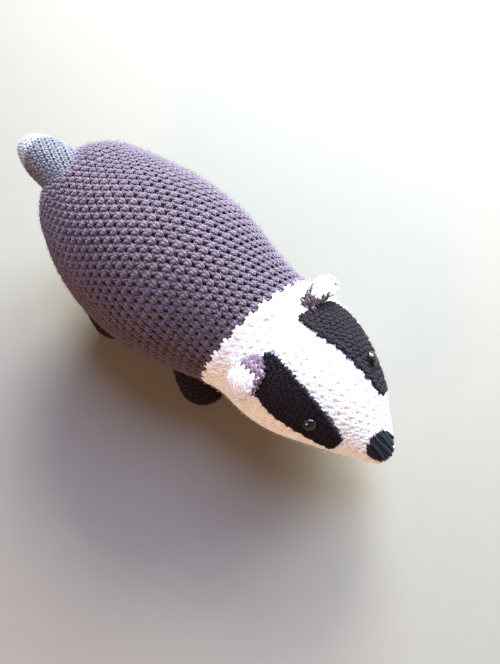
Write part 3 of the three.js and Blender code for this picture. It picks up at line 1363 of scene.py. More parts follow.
def lining_of(
    form: BallPath,
    start: float,
    stop: float,
    depth: float,
    fine: tuple,
    tone: object = 0.0,
) -> Shell:
    """Makes the closed form under the stitches, between two rounds on a skin.

    Args:
        form: the form.
        start: the level of the round where the lining begins, in metres along the skin.
        stop: the level where it ends.
        depth: how far under the skin it lies, in millimetres.
        fine: points around it, and rings along it.
        tone: 0 for the first yarn, 1 for the second, or a function from levels to tones.

    Returns:
        The lining.
    """
    sides, rings = fine
    turns = FULL_TURN * np.arange(sides) / sides
    levels = np.linspace(start, stop, rings + 2)[1:-1]
    grid, around = np.broadcast_arrays(levels[:, None], turns[None])
    points = form.point(form.tilt(grid, around), around, -depth * MM)
    first = points[0].mean(axis=0)
    last = points[-1].mean(axis=0)
    zero = np.zeros(1)
    if start <= 0:
        first = form.point(zero, zero, -depth * MM)[0]
    if stop >= form.length:
        last = form.point(zero + form.length, zero, -depth * MM)[0]
    tones = tone(levels) if callable(tone) else np.full(rings, tone)
    tones = np.r_[np.repeat(tones, sides), tones[0], tones[-1]]
    # Crest 0 everywhere: the lining takes the yarn's deep colour, painted shade seen through the
    # holes between stitches.
    crest = np.zeros(rings + 2)
    shell = Shell()
    shell.add(*tube(points, (first, last), crest, even_run(rings, LINING_EDGE)), tone=tones)
    return shell


def press(mesh: bpy.types.Mesh, floor: float = 0.02) -> None:
    """Lifts what is under the floor up to it.

    Args:
        mesh: the mesh.
        floor: the lowest height that it may have, in millimetres.
    """
    points = np.zeros(len(mesh.vertices) * 3, np.float32)
    mesh.vertices.foreach_get("co", points)
    points[2::3] = np.maximum(points[2::3], floor * MM)
    mesh.vertices.foreach_set("co", points)
    mesh.update()


def dress(piece: bpy.types.Object, slot: str, *nodes: str) -> bpy.types.Object:
    """Ties a finished piece to the frame.

    Args:
        piece: the piece.
        slot: the name of a material slot; not used.
        nodes: the frame's nodes that it stands for.

    Returns:
        The piece.
    """
    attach(piece, "root")
    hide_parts(*nodes)
    LOG.info("%s: %d faces", piece.name, len(piece.data.polygons))
    return piece


@dataclass
class Trunk:
    """Trunk and head: one stuffed form, worked in grey and then in white.

    The white begins at collar_y. Every other stitch of its first round reaches back over the
    grey as a tooth, so it is moved back, lifted and stretched. Stitches of the head have no
    fuzz in front of bare_y, nor near a stripe, by bare_margin of its half width or length.
    """

    stations: list = field(
        default_factory=lambda: [
            (4.3, 76.5, 69.6, 46.0),
            (1.0, 54.9, 66.5, 52.9),
            (0.0, 33.2, 64.1, 56.6),
            (-0.4, 11.6, 61.9, 55.1),
            (-0.4, -10.1, 59.0, 49.3),
            (0.0, -31.7, 56.3, 43.7),
            (0.1, -53.3, 54.0, 41.8),
            (-0.9, -75.0, 52.6, 42.4),
            (-3.3, -96.6, 51.5, 33.9),
            (-6.9, -118.2, 47.6, 22.6),
            (-11.4, -139.4, 45.6, 9.8),
        ]
    )
    collar_y: float = -44.0
    tooth: float = 1.2
    tooth_lift: float = 0.5
    tooth_stretch: float = 1.35
    bare_y: float = -131.0
    bare_margin: float = 0.3
    gauge: Gauge = Gauge(5.0, 5.15, most=60, fewest=6, step=6)
    lean: tuple = (
        (25.0, 0.0),
        (75.0, 0.03),
        (125.0, 0.11),
        (170.0, 0.14),
        (200.0, 0.19),
        (310.0, 0.0),
    )
    depth: float = 1.7
    white_depth: float = 0.7
    fine: tuple = (72, 60)
    white_fine: tuple = (60, 50)
    seed: int = 11
    white_seed: int = 12
    # Grey yarn; its side and deep colours are painted shade, redder and darker between the
    # stitches.
    grey: YarnFinish = YarnFinish(
        "grey_crochet",
        Dye(crest=(0.096, 0.066, 0.097), side=(0.075, 0.031, 0.035), deep=(0.03, 0.009, 0.01)),
        sheen_tint=(0.9, 0.85, 1.0),
    )
    white: YarnFinish = YarnFinish(
        "white_crochet",
        WHITE,
        sheen=0.15,
        uneven=0.06,
        sheen_tint=(1.0, 1.0, 1.0),
    )

    def __post_init__(self) -> None:
        """Makes the form."""
        self.form = BallPath(self.stations, lean=self.lean)

    def build(self, loom: Loom, stripes: "Stripes") -> None:
        """Makes the trunk and the head.

        Args:
            loom: what lays the stitches.
            stripes: the patches that hide some of them.
        """
        laid = lay_rounds(self.form, self.gauge)
        collar = float(self.form.s_at_y(self.collar_y * MM))
        behind = laid.level < collar
        first = ~behind & (laid.level < collar + self.gauge.height * MM)
        first &= np.arange(len(first)) % 2 == 0
        up, away = laid.frame[first, :, 1], laid.frame[first, :, 2]
        laid.place[first] += (away * self.tooth_lift - up * self.tooth) * MM
        laid.span[first, 1] *= self.tooth_stretch
        ahead = ~behind & ~stripes.cover(self.form, laid)
        bare = stripes.cover(self.form, laid, -self.bare_margin)
        bare |= laid.place[:, 1] < self.bare_y * MM
        lining = lining_of(self.form, 0.0, collar, self.depth, self.fine)
        grey = self.grey.material()
        trunk = loom.work("crochet_trunk", laid.only(behind), lining, grey, self.seed)
        dress(trunk, "grey_yarn", "trunk")
        length = self.form.length
        lining = lining_of(self.form, collar, length, self.white_depth, self.white_fine)
        head = loom.work(
            "crochet_head",
            laid.only(ahead),
            lining,
            self.white.material(),
            self.white_seed,
            FLUFFY,
            bare=bare[ahead],
        )
        dress(head, "white_yarn", "head")


@dataclass
class Tail:
    """The short thick tail: marled yarn with a paler tip."""

    stations: list = field(
        default_factory=lambda: [
            (3.0, 88.0, 94.3, 19.6),
            (3.1, 109.0, 94.0, 16.4),
            (3.4, 126.5, 93.5, 14.4),
            (3.7, 138.5, 93.0, 10.4),
        ]
    )
    paler_from_y: float = 129.0
    gauge: Gauge = Gauge(4.6, 4.3)
    depth: float = 2.1
    lining_from_y: float = 100.0
    fine: tuple = (28, 22)
    seed: int = 21
    # Marled yarn with a paler second yarn for the tip; each side and deep colour is painted shade
    # between the stitches.
    yarn: YarnFinish = YarnFinish(
        "marled_crochet",
        Dye(crest=(0.165, 0.155, 0.185), side=(0.1, 0.085, 0.1), deep=(0.05, 0.038, 0.042)),
        Dye(crest=(0.36, 0.35, 0.37), side=(0.28, 0.26, 0.28), deep=(0.16, 0.14, 0.15)),
        marl=0.6,
        marl_colour=(0.07, 0.06, 0.08),
    )

    def build(self, loom: Loom, trunk: BallPath) -> None:
        """Makes the tail.

        Args:
            loom: what lays the stitches.
            trunk: the form that it is sewn to.
        """
        form = BallPath(self.stations)

        def tone(level: np.ndarray) -> np.ndarray:
            """1 where rounds are worked in the paler yarn of the tip, else 0."""
            return (form.read(form.centre, level)[:, 1] > self.paler_from_y * MM).astype(float)

        laid = lay_rounds(form, self.gauge)
        laid.tone = tone(laid.level)
        laid = laid.only(trunk.depth(laid.place) < SEWN_DEPTH)
        start = float(form.s_at_y(self.lining_from_y * MM))
        lining = lining_of(form, start, form.length, self.depth, self.fine, tone)
        tail = loom.work("crochet_tail", laid, lining, self.yarn.material(), self.seed)
        dress(tail, "tail_yarn", "tail")


@dataclass
class Legs:
    """Four stubby legs in black yarn.

    Hip, knee and foot are the ball's ways inward and ahead from a leg's place, its height and
    its radius. Places are each pair's way out from the middle, and y.
    """

    hip: tuple = (14.0, 0.0, 46.0, 16.0)
    knee: tuple = (4.5, 0.0, 28.0, 16.2)
    foot: tuple = (0.0, 3.0, 12.5, 16.5)
    places: dict = field(default_factory=lambda: {End.FRONT: (42.0, -21.0), End.REAR: (45.0, 64.0)})
    gauge: Gauge = Gauge(4.9, 4.7)
    depth: float = 2.1
    lining_from_z: float = 36.0
    fine: tuple = (26, 22)
    seed: int = 31
    # Black yarn, also for the stripes; its side and deep colours are painted shade between the
    # stitches.
    yarn: YarnFinish = YarnFinish(
        "black_crochet",
        Dye(
            crest=(0.0115, 0.005, 0.0088),
            side=(0.005, 0.0022, 0.0035),
            deep=(0.002, 0.001, 0.001),
        ),
        sheen=0.06,
        sheen_tint=(0.75, 0.6, 0.9),
    )

    def build(self, loom: Loom, trunk: BallPath) -> bpy.types.Material:
        """Makes the legs.

        Args:
            loom: what lays the stitches.
            trunk: the form that they are sewn to.

        Returns:
            The black yarn, for the other black pieces.
        """
        black = self.yarn.material()
        for side in Side:
            for end, (x, y) in self.places.items():
                stations = [
                    (side.x * (x - inward), y - ahead, z, r)
                    for inward, ahead, z, r in (self.hip, self.knee, self.foot)
                ]
                form = FootedPath(stations, up=FORWARD)
                laid = lay_rounds(form, self.gauge)
                laid = laid.only(trunk.depth(laid.place) < SEWN_DEPTH)
                start = float(np.interp(-self.lining_from_z * MM, -form.centre[:, 2], form.s))
                lining = lining_of(form, start, form.length, self.depth, self.fine)
                name = f"{end.value}_{side.word}"
                seed = self.seed + len(name)
                leg = loom.work(f"crochet_leg_{name}", laid, lining, black, seed)
                press(leg.data)
                dress(leg, "black_yarn", f"leg_{name}")
        return black


@dataclass
class Stripes:
    """The two black stripes: patches worked in rows and sewn on the head.

    A stripe runs from back_y to front_y, and its outer edge starts a slant further forward.
    Inner and outer are its edges in degrees from the top, from back to front, and drop moves
    the outer one down, most at the back. Corner is how square its ends are, and ends how near
    they come to a point. Its rows lie a border inside its edge, and each is shifted to the
    other side than the last, by a share of a stitch. Stitches on the edge are edge_height of
    a row high. The patch under them, of patch_fine rows and points around, goes over
    patch_ends of the length and patch_reach of the width, patch_thick to each side of under.
    """

    back_y: dict = field(default_factory=lambda: {Side.RIGHT: -66.5, Side.LEFT: -67.0})
    front_y: dict = field(default_factory=lambda: {Side.RIGHT: -123.5, Side.LEFT: -121.0})
    slant: float = 5.0
    inner: dict = field(
        default_factory=lambda: {
            Side.RIGHT: (12.0, 16.5, 22.0, 33.0),
            Side.LEFT: (12.0, 19.0, 28.0, 40.0),
        }
    )
    outer: tuple = (46.0, 55.0, 61.0, 66.0)
    drop: dict = field(default_factory=lambda: {Side.RIGHT: 0.0, Side.LEFT: 12.0})
    corner: float = 5.0
    ends: float = 0.97
    row: float = 3.4
    width: float = 3.9
    lift: float = 1.5
    border: float = 1.4
    under: float = 0.3
    shift: float = 0.3
    edge_height: float = 1.1
    centre_reach: float = 0.8
    fine: int = 60
    middle_fine: int = 50
    patch_fine: tuple = (26, 16)
    patch_ends: tuple = (0.05, 0.95)
    patch_reach: float = 0.9
    patch_thick: float = 0.75
    unevenness: float = 0.2
    wobble: float = 0.4
    seed: int = 51

    def point(
        self, head: BallPath, side: Side, along: np.ndarray, across: np.ndarray, lift: float
    ) -> np.ndarray:
        """Points over the head, on one of the stripes.

        Args:
            head: the form they are sewn to.
            side: which stripe.
            along: 0 at its back end to 1 at its front.
            across: -1 at its inner edge to 1 at its outer.
            lift: height over the head, in millimetres.

        Returns:
            The points, one a row.
        """
        middle, half = self.spread(side, along)
        degrees = middle + across * half
        back = self.back_y[side] - self.slant * (across + 1) / 2
        y = back + (self.front_y[side] - back) * along
        return head.point(head.s_at_y(y * MM), np.radians(side.value * degrees), lift * MM)

    def spread(self, side: Side, along: np.ndarray) -> tuple:
        """Works out how wide a stripe is.

        Args:
            side: which stripe.
            along: places along it, 0 at its back end to 1 at its front.

        Returns:
            Its middle there and half its width, in degrees from the top.
        """
        reach = self.ends * np.clip(2 * along - 1, -1, 1)
        full = (1 - np.abs(reach) ** self.corner) ** (1 / self.corner)
        inner = smooth_through(self.inner[side], along)
        outer = smooth_through(self.outer, along) + self.drop[side] * (1 - along / 3)
        return (inner + outer) / 2, (outer - inner) / 2 * full

    def cover(
        self, head: BallPath, laid: LaidStitches, kept: float = 0.1, tries: int = 4
    ) -> np.ndarray:
        """Finds the stitches of the head that lie well under a stripe.

        Args:
            head: the form that the stripes are sewn to.
            laid: its stitches.
            kept: the share of a stripe's half width or length with stitches left under it.
            tries: how often a place on the slanting stripe is worked out anew.

        Returns:
            A mask.
        """
        covered = np.zeros(len(laid.a), bool)
        y = head.read(head.centre, head.tilt(laid.level, laid.a))[:, 1] / MM
        turn = np.degrees(np.mod(laid.a + math.pi, FULL_TURN) - math.pi)
        for side in Side:
            across = np.zeros(len(y))
            for _ in range(tries):
                back = self.back_y[side] - self.slant * (np.clip(across, -1, 1) + 1) / 2
                along = (y - back) / (self.front_y[side] - back)
                middle, half = self.spread(side, along)
                across = (side.value * turn - middle) / half
            inside = np.abs(2 * along - 1) < 1 - kept
            covered |= inside & (np.abs(across) < 1 - kept)
        return covered

    def framed(
        self, head: BallPath, side: Side, along: np.ndarray, across: np.ndarray, step: float = 2e-3
    ) -> tuple:
        """Finds places on a stripe with their frames.

        Args:
            head: the form it is sewn to.
            side: which stripe.
            along: 0 at its back end to 1 at its front.
            across: -1 at its inner edge to 1 at its outer.
            step: the step over the stripe that gives its slope.

        Returns:
            The places, and unit vectors across the stripe, along it and out of it.
        """
        place = self.point(head, side, along, across, self.lift)
        over = self.point(head, side, along, across + step, self.lift)
        ahead = self.point(head, side, np.clip(along + step, 0, 1), across, self.lift)
        behind = self.point(head, side, np.clip(along - step, 0, 1), across, self.lift)
        row = unit(over - place) * side.value
        away = unit(np.cross(row, ahead - behind))
        return place, row, np.cross(away, row), away

    def lay(self, head: BallPath, side: Side) -> LaidStitches:
        """Lays a stripe's rows of stitches, and a round of them along its edge.

        Args:
            head: the form it is sewn to.
            side: which stripe.

        Returns:
            The stitches.
        """
        middle = np.linspace(0, 1, self.middle_fine)
        length = way_along(self.point(head, side, middle, 0 * middle, 0))[-1] / MM
        inset = 2 * self.border / length
        rows = round(length * (1 - inset) / self.row)
        line = np.linspace(-1, 1, self.fine)
        found = []
        for number in range(rows):
            along = 0.5 + ((number + 0.5) / rows - 0.5) * (1 - inset)
            run = way_along(self.point(head, side, np.full(len(line), along), line, 0))
            wide = run[-1] / MM - 2 * self.border
            count = max(round(wide / self.width), 1)
            shift = self.shift if number % 2 else -self.shift
            at = (self.border + (np.arange(count) + 0.5 + shift) / count * wide) * MM
            across = np.interp(at, run, line)
            size = (np.full(count, wide / count), np.full(count, length * (1 - inset) / rows))
            found.append(np.stack([np.full(count, along), across, *size]))
        along, across, width, height = np.concatenate(found, axis=1)
        place, row, up, away = self.framed(head, side, along, across)
        frame = np.stack([row, up, away], axis=2)
        span = np.stack([width, height], axis=1)
        inner = LaidStitches(place, frame, span, 0 * along, along, across)
        return inner.joined(self.lay_edge(head, side, inset, length))

    def lay_edge(self, head: BallPath, side: Side, inset: float, length: float) -> LaidStitches:
        """Lays a round of stitches along a stripe's edge, their tips inward.

        Args:
            head: the form it is sewn to.
            side: which stripe.
            inset: the share of the length that the round takes at both ends together.
            length: the stripe's length, in millimetres.

        Returns:
            The stitches.
        """
        line = np.linspace(-1, 1, self.fine)
        flat = np.ones(self.fine)
        along = np.r_[0.5 + line * 0.5, flat, 0.5 - line * 0.5, 0 * flat]
        across = np.r_[flat, -line, -flat, line]
        along = 0.5 + (along - 0.5) * (1 - inset)
        inner, outer = (self.point(head, side, along, 0 * along + edge, 0) for edge in (-1, 1))
        wide = np.linalg.norm(outer - inner, axis=1)
        across = across * (1 - 2 * self.border * MM / wide)
        path = self.point(head, side, along, across, self.lift)
        run = way_along(path)
        count = round(run[-1] / MM / self.width)
        at = (np.arange(count) + 0.5) / count * run[-1]
        along, across = np.interp(at, run, along), np.interp(at, run, across)
        place, _, _, away = self.framed(head, side, along, across)
        slopes = np.gradient(path, axis=0).T
        tangent = np.stack([np.interp(at, run, column) for column in slopes], axis=1)
        tangent = unit(tangent - away * (tangent * away).sum(axis=1, keepdims=True))
        outward = np.cross(away, tangent)
        inside = 0.5 + (along - 0.5) * self.centre_reach
        centre = self.point(head, side, inside, 0 * across, self.lift)
        turned = np.where(((place - centre) * outward).sum(axis=1) < 0, 1.0, -1.0)[:, None]
        frame = np.stack([tangent * turned, outward * turned, away], axis=2)
        size = [np.full(count, run[-1] / MM / count), np.full(count, self.row * self.edge_height)]
        return LaidStitches(place, frame, np.stack(size, axis=1), 0 * along, along, across)

    def lining(self, head: BallPath, side: Side) -> Shell:
        """Makes the closed patch under a stripe's stitches.

        Args:
            head: the form it is sewn to.
            side: which stripe.

        Returns:
            The patch.
        """
        rows, around = self.patch_fine
        turns = FULL_TURN * np.arange(around) / around
        across = np.sin(turns) * self.patch_reach
        high = self.under + self.patch_thick * np.cos(turns) - self.lift
        rings = []
        for along in np.linspace(*self.patch_ends, rows):
            place, _, _, away = self.framed(head, side, np.full(around, along), across)
            rings.append(place + away * high[:, None] * MM)
        rings = np.stack(rings)
        poles = (rings[0].mean(axis=0), rings[-1].mean(axis=0))
        if side is Side.LEFT:
            rings = rings[:, ::-1]
        shell = Shell()
        # Crest 0: the patch takes the black yarn's deep colour, painted shade between the stripe's
        # stitches.
        shell.add(*tube(rings, poles, np.zeros(rows + 2), even_run(rows, LINING_EDGE)))
        return shell

    def build(self, loom: Loom, head: BallPath, black: bpy.types.Material) -> None:
        """Makes both stripes.

        Args:
            loom: what lays the stitches.
            head: the form that they are sewn to.
            black: their yarn.
        """
        for side in Side:
            name = f"stripe_{side.word}"
            patch = loom.work(
                f"crochet_{name}",
                self.lay(head, side),
                self.lining(head, side),
                black,
                self.seed + side.value,
                FIRM,
                self.unevenness,
                self.wobble,
            )
            dress(patch, "black_yarn", name)


@dataclass
class Ears:
    """Plump lobes sewn along the head's sides: white, with a grey base and front, darkened on the
    left ear as painted shadow under its lobe.

    A station is degrees from the head's top, a height over the head and a radius. The band is the
    height over the head below which stitches are grey, or grey in painted shadow, and how much
    higher that is in front. It fades over the share fade_over of the ear's length and ends at
    fade_to. A stitch is in front if it faces forward by front_from, and fully by front_over more.
    """

    y: dict = field(default_factory=lambda: {Side.RIGHT: -67.0, Side.LEFT: -66.0})
    flatness: dict = field(default_factory=lambda: {Side.RIGHT: 0.5, Side.LEFT: 0.85})
    stations: dict = field(
        default_factory=lambda: {
            Side.RIGHT: ((28, 1.0, 7.0), (34, 3.2, 9.0), (42, 4.8, 9.8), (50, 4.8, 7.8)),
            Side.LEFT: ((32, 1.0, 5.0), (39, 4.0, 6.6), (46, 7.0, 7.4), (51, 7.6, 6.8)),
        }
    )
    gauge: Gauge = Gauge(3.9, 3.7)
    depth: float = 2.3
    fine: tuple = (24, 18)
    inset: float = 1.5
    sunk: float = 0.8
    seed: int = 61
    band: dict = field(default_factory=lambda: {Side.RIGHT: (5.4, 2.6), Side.LEFT: (5.2, 4.8)})
    front_from: float = 0.45
    front_over: float = 0.5
    fade_to: float = 0.85
    fade_over: float = 0.4
    loops: tuple = ((-63.5, 30.0, 1.9), (-70.5, 29.0, 1.1), (-66.5, 37.0, 1.5))
    loop_yarn: float = 0.75
    loop_lift: float = 1.6
    loop_arch: float = 0.5
    loop_flatness: float = 0.8
    loop_turns: tuple = (0.7, 5.0)
    loop_fine: int = 14
    grey: Dye = Dye(crest=(0.13, 0.08, 0.12), side=(0.09, 0.045, 0.06), deep=(0.04, 0.012, 0.016))
    brown: Dye = Dye(
        crest=(0.055, 0.03, 0.035),
        side=(0.034, 0.016, 0.019),
        deep=(0.02, 0.008, 0.01),
    )
    marl: float = 0.35
    marl_colour: tuple = (0.12, 0.045, 0.055)
    uneven: float = 0.1

    def form(self, head: BallPath, side: Side) -> BallPath:
        """Makes one ear's form, from the top of the head down.

        Args:
            head: the form that it is sewn to.
            side: which ear.

        Returns:
            The form.
        """
        s = head.s_at_y(self.y[side] * MM)
        stations = []
        for degrees, lift, radius in self.stations[side]:
            turn = math.radians(side.value * degrees)
            spot = head.point(s, turn) + head.outward(s, turn) * lift * MM
            stations.append((*(spot / MM), radius))
        first, last = self.stations[side][0][0], self.stations[side][-1][0]
        away = head.outward(s, math.radians(side.value * (first + last) / 2))
        return BallPath(stations, up=tuple(away), flatness=self.flatness[side])

    def build(self, loom: Loom, head: BallPath) -> None:
        """Makes both ears.

        Args:
            loom: what lays the stitches.
            head: the form that they are sewn to.
        """
        # The left ear's base is its grey yarn painted darker, as shadow under the lobe; the loops
        # at its seam take that colour too.
        for side, dye_with_shade in zip(Side, (self.grey, self.brown)):
            yarn = YarnFinish(
                f"ear_crochet_{side.word}",
                dye_with_shade,
                marl=self.marl,
                marl_colour=self.marl_colour,
                uneven=self.uneven,
            ).material()
            form = self.form(head, side)
            laid = lay_rounds(form, self.gauge)
            facing = laid.frame[:, :, 2] @ np.array(FORWARD)
            front = np.clip((facing - self.front_from) / self.front_over, 0, 1)
            laid.place = form.point(laid.level, laid.a, -self.inset * MM)
            height = -head.depth(laid.place) / MM
            base, ahead = self.band[side]
            fading = np.clip((self.fade_to - laid.level / form.length) / self.fade_over, 0, 1)
            laid.tone = (height > (base + ahead * front) * fading).astype(float)
            laid = laid.only(height > self.sunk)
            lining = lining_of(form, 0.0, form.length, self.depth, self.fine, 1.0)
            if side is Side.LEFT:
                self.add_loops(lining, head, side, len(laid.a))
            name = f"ear_{side.word}"
            seed = self.seed + side.value
            ear = loom.work(f"crochet_{name}", laid, lining, yarn, seed, FLUFFY)
            dress(ear, "white_yarn", name)

    def add_loops(self, shell: Shell, head: BallPath, side: Side, number: int) -> None:
        """Adds loose loops of yarn at the seam of an ear.

        Args:
            shell: what they are added to.
            head: the form that the ear is sewn to.
            side: which ear.
            number: the first loop's number on the bake map.
        """
        turns = np.linspace(*self.loop_turns, self.loop_fine)
        rise = self.loop_lift + self.loop_arch * np.sin(turns / 2)
        for k, (y, degrees, radius) in enumerate(self.loops):
            s, a = head.s_at_y(y * MM), math.radians(side.value * degrees)
            away = head.outward(s, a)
            across = unit(np.cross(away, np.array(UP)))
            ahead = np.cross(across, away)
            ring = np.outer(np.cos(turns), across)
            ring = ring + np.outer(np.sin(turns), ahead) * self.loop_flatness
            line = head.point(s, a) + (ring * radius + np.outer(rise, away)) * MM
            add_yarn(shell, line, self.loop_yarn, away, number + k)


@dataclass
class Nose:
    """The nose: long stitches of black yarn side by side over the tip of the snout.

    Its middle is at y, some degrees from the top of the head. Reach is half its length and
    across half its width. An under layer of thicker strands runs across it, over under_reach of
    its length and under_across of its width. Lengths, places and radii are a little uneven.
    """

    y: float = -142.0
    degrees: float = -6.0
    reach: float = 9.2
    across: float = 8.3
    strands: int = 14
    under_strands: int = 9
    radius: float = 1.05
    lift: float = 0.5
    fine: int = 11
    under_reach: float = 0.8
    under_across: float = 0.86
    under_depth: float = 1.0
    under_radius: float = 1.2
    roundness: float = 0.92
    uneven_length: float = 0.07
    uneven_place: float = 0.3
    uneven_lift: float = 0.25
    uneven_radius: float = 0.1
    sway: float = 0.35
    yarn: YarnFinish = YarnFinish(
        "nose_yarn",
        Dye(crest=(0.009, 0.009, 0.013), side=(0.003, 0.003, 0.005), deep=(0.002, 0.002, 0.003)),
        sheen=0.08,
        sheen_tint=(0.6, 0.7, 1.0),
        twist=9.0,
    )

    def build(self, head: BallPath) -> None:
        """Makes the nose.

        Args:
            head: the form that it is sewn on.
        """
        shell = Shell()
        s, turn = head.s_at_y(self.y * MM), np.array(math.radians(self.degrees))
        centre, away = head.point(s, turn), head.outward(s, turn)
        side = unit(np.cross(away, np.array(UP)))
        ahead = np.cross(side, away)
        share = np.linspace(-1, 1, self.fine)
        for number in range(self.under_strands):
            offset = ((number + 0.5) / self.under_strands * 2 - 1) * self.under_reach
            half = math.sqrt(1 - offset**2) * self.across * self.under_across
            bend = ahead * offset * self.reach
            flat = centre + (bend + np.outer(share, side) * half) * MM
            line = self.on_skin(head, flat, -away, self.lift - self.under_depth)
            add_yarn(shell, line, self.radius * self.under_radius, away, number)
        for number in range(self.strands):
            offset = (number + 0.5) / self.strands * 2 - 1
            uneven, bob = math.sin(number * 2.4), math.cos(number * 1.9)
            swell = math.cos(number * 3.1)
            half = math.sqrt(1 - offset**2 * self.roundness) * self.reach
            half *= 1 + self.uneven_length * uneven
            bend = side * (offset * self.across + self.uneven_place * uneven)
            sway = np.outer(np.sin(share * 2.2 + number), side) * self.sway
            flat = centre + (bend + sway + np.outer(share, ahead) * half) * MM
            line = self.on_skin(head, flat, -away, self.lift)
            line = line + away * self.uneven_lift * bob * MM
            radius = self.radius * (1 + self.uneven_radius * swell)
            add_yarn(shell, line, radius, away, self.under_strands + number)
        nose = put("yarn_nose", shell.mesh("yarn_nose"))
        lay_bake_map(nose.data, 0.0, 1)
        nose.data.materials.append(self.yarn.material())
        dress(nose, "nose_yarn", "nose")

    def on_skin(
        self,
        head: BallPath,
        points: np.ndarray,
        inward: np.ndarray,
        lift: float,
        start: float = 12.0,
        tries: int = 40,
        share: float = 0.7,
    ) -> np.ndarray:
        """Moves points along a direction until they lie on the skin or over it.

        Args:
            head: the form.
            points: the points, one a row.
            inward: the direction, as a unit vector into the form.
            lift: the height over the skin that they come to, in millimetres.
            start: how far outward they start, in millimetres.
            tries: how many moves they make.
            share: how much of the way that is left each move goes.

        Returns:
            The moved points.
        """
        points = points - inward * start * MM
        for _ in range(tries):
            gap = -head.depth(points) - lift * MM
            points = points + inward * gap[:, None] * share
        return points


@dataclass
class Eyes:
    """Domed plastic eyes on the stripes.

    The dome's profile goes from the lowest angle to the highest, in radians. A roundness
    under 1 makes it fuller than an oval.
    """

    y: dict = field(default_factory=lambda: {Side.RIGHT: -107.2, Side.LEFT: -106.3})
    degrees: dict = field(default_factory=lambda: {Side.RIGHT: 42.5, Side.LEFT: 49.5})
    radius: float = 3.9
    height: float = 2.7
    lift: float = 1.9
    lowest: float = -0.35
    highest: float = 1.45
    roundness: float = 0.9
    sides: int = 40
    rings: int = 14

    def build(self, head: BallPath) -> None:
        """Makes both eyes.

        Args:
            head: the form that they are set in.
        """
        plastic = EyeFinish().material()
        for side in Side:
            turn = np.array(math.radians(side.value * self.degrees[side]))
            s = head.s_at_y(self.y[side] * MM)
            away = head.outward(s, turn)
            base = head.point(s, turn) + away * self.lift * MM
            across = unit(np.cross(away, np.array(UP)))
            up = np.cross(across, away)
            angle = np.linspace(self.lowest, self.highest, self.rings)
            around = FULL_TURN * np.arange(self.sides) / self.sides
            reach = self.radius * np.cos(angle) ** self.roundness
            rise = self.height * np.sin(angle)
            ring = np.cos(around)[:, None] * up + np.sin(around)[:, None] * across
            rings = base + (reach[:, None, None] * ring[None] + rise[:, None, None] * away) * MM
            poles = (base + away * rise[0] * MM, base + away * self.height * MM)
            shell = Shell()
            shell.add(*tube(rings, poles, np.ones(self.rings + 2), even_run(self.rings)))
            name = f"eye_{side.word}"
            eye = put(f"domed_{name}", shell.mesh(name))
            eye.data.materials.append(plastic)
            dress(eye, "eye_plastic", name)


def placed(columns: list, place: np.ndarray) -> Matrix:
    """Makes the matrix of a placed object.

    Args:
        columns: the object's x, y and z as unit vectors.
        place: its place in metres.

    Returns:
        The matrix.
    """
    matrix = np.eye(4)
    matrix[:3, :3] = np.stack(columns, axis=1)
    matrix[:3, 3] = place
    return Matrix(matrix.tolist())


@dataclass(frozen=True)
class Lamp:
    """A soft square lamp that shines on the toy.

    Towards is how far it stands from the toy's middle, size the edge of its face and height
    that of the middle over the floor, all in metres. The power is in watts.
    """

    name: str
    towards: tuple
    size: float
    power: float
    colour: tuple
    height: float = 0.06

    def hang(self) -> None:
        """Adds the lamp to the scene, turned to the toy."""
        data = bpy.data.lights.new(self.name, "AREA")
        data.size, data.energy, data.color = self.size, self.power, self.colour
        back = unit(np.array(self.towards))
        side = unit(np.cross(np.array((0.0, 1.0, 0.01)), back))
        place = np.array(self.towards) + (0, 0, self.height)
        put(self.name, data).matrix_world = placed([side, np.cross(back, side), back], place)


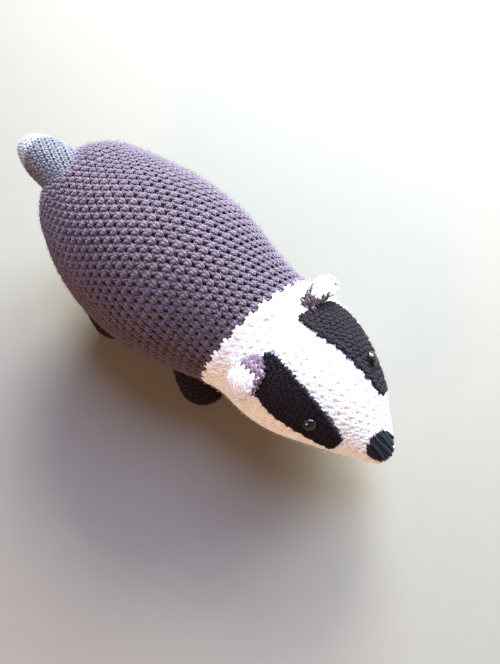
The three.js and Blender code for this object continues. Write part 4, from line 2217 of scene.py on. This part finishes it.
@dataclass
class Studio:
    """Camera, floor and soft light.

    The focal length is in pixels of the picture and the turns are in degrees. The camera sees
    from near_far's first distance to its second, and half_floor is half the floor's width,
    all in metres. The lamps are two bright windows beyond the toy, a cool sky above and a warm
    glow on the near side.
    """

    picture: tuple = (500, 664)
    focal: float = 506.03
    place: tuple = (-53.92, -137.75, 344.92)
    azimuth: float = -28.084
    elevation: float = 69.493
    roll: float = -24.319
    sensor: float = 36.0
    near_far: tuple = (0.01, 20.0)
    lamps: tuple = (
        Lamp("window", (1.1, 0.5, 0.6), 0.6, 94.0, (0.8, 0.92, 0.87)),
        Lamp("side_window", (1.1, -0.3, 0.5), 0.6, 47.0, (0.8, 0.92, 0.87)),
        Lamp("sky", (0.6, 0.1, 1.0), 0.7, 34.0, (0.44, 0.62, 1.0)),
        Lamp("glow", (-0.85, -0.1, 0.5), 0.3, 8.0, (1.0, 0.66, 0.44)),
    )
    room_colour: tuple = (1.0, 0.8, 0.6, 1.0)
    room_strength: float = 0.1
    half_floor: float = 3.0

    def axes(self) -> list:
        """Works out how the camera is turned.

        Returns:
            Its right, up and back as unit vectors.
        """
        a, e, r = (math.radians(x) for x in (self.azimuth, self.elevation, self.roll))
        back = np.array([math.sin(a) * math.cos(e), -math.cos(a) * math.cos(e), math.sin(e)])
        level = np.array([math.cos(a), math.sin(a), 0.0])
        rise = np.cross(back, level)
        right = level * math.cos(r) + rise * math.sin(r)
        up = rise * math.cos(r) - level * math.sin(r)
        return [right, up, back]

    def set_camera(self) -> None:
        """Puts the camera where the photograph was taken."""
        data = bpy.data.cameras.new("view")
        data.sensor_width = self.sensor
        data.lens = self.focal / max(self.picture) * self.sensor
        data.clip_start, data.clip_end = self.near_far
        camera = put("view", data)
        camera.matrix_world = placed(self.axes(), np.array(self.place) * MM)
        bpy.context.scene.camera = camera

    def set_lights(self) -> None:
        """Hangs the lamps and sets the room's own faint light."""
        for lamp in self.lamps:
            lamp.hang()
        world = bpy.data.worlds.new("room")
        world.use_nodes = True
        shade = world.node_tree.nodes["Background"]
        shade.inputs["Color"].default_value = self.room_colour
        shade.inputs["Strength"].default_value = self.room_strength
        scene = bpy.context.scene
        scene.world = world
        scene.view_settings.view_transform = "Standard"
        scene.view_settings.look = "None"

    def set_floor(self) -> None:
        """Lays the pale floor."""
        half = self.half_floor
        mesh = bpy.data.meshes.new("floor")
        corners = [(-half, -half, 0), (half, -half, 0), (half, half, 0), (-half, half, 0)]
        mesh.from_pydata(corners, [], [(0, 1, 2, 3)])
        mesh.materials.append(FloorFinish().material())
        floor = put("floor", mesh)

    def build(self) -> None:
        """Sets up camera, light and floor."""
        self.set_camera()
        self.set_lights()
        self.set_floor()


def main() -> None:
    """Builds the toy and its studio."""
    logging.basicConfig(level=logging.INFO, format="%(name)s %(message)s")
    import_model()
    Studio().build()
    loom = Loom((FIRM, FLUFFY, FUZZ))
    trunk = Trunk()
    stripes = Stripes()
    trunk.build(loom, stripes)
    Tail().build(loom, trunk.form)
    black = Legs().build(loom, trunk.form)
    stripes.build(loom, trunk.form, black)
    Ears().build(loom, trunk.form)
    Nose().build(trunk.form)
    Eyes().build(trunk.form)
    loom.put_away()


if __name__ == "__main__":
    main()
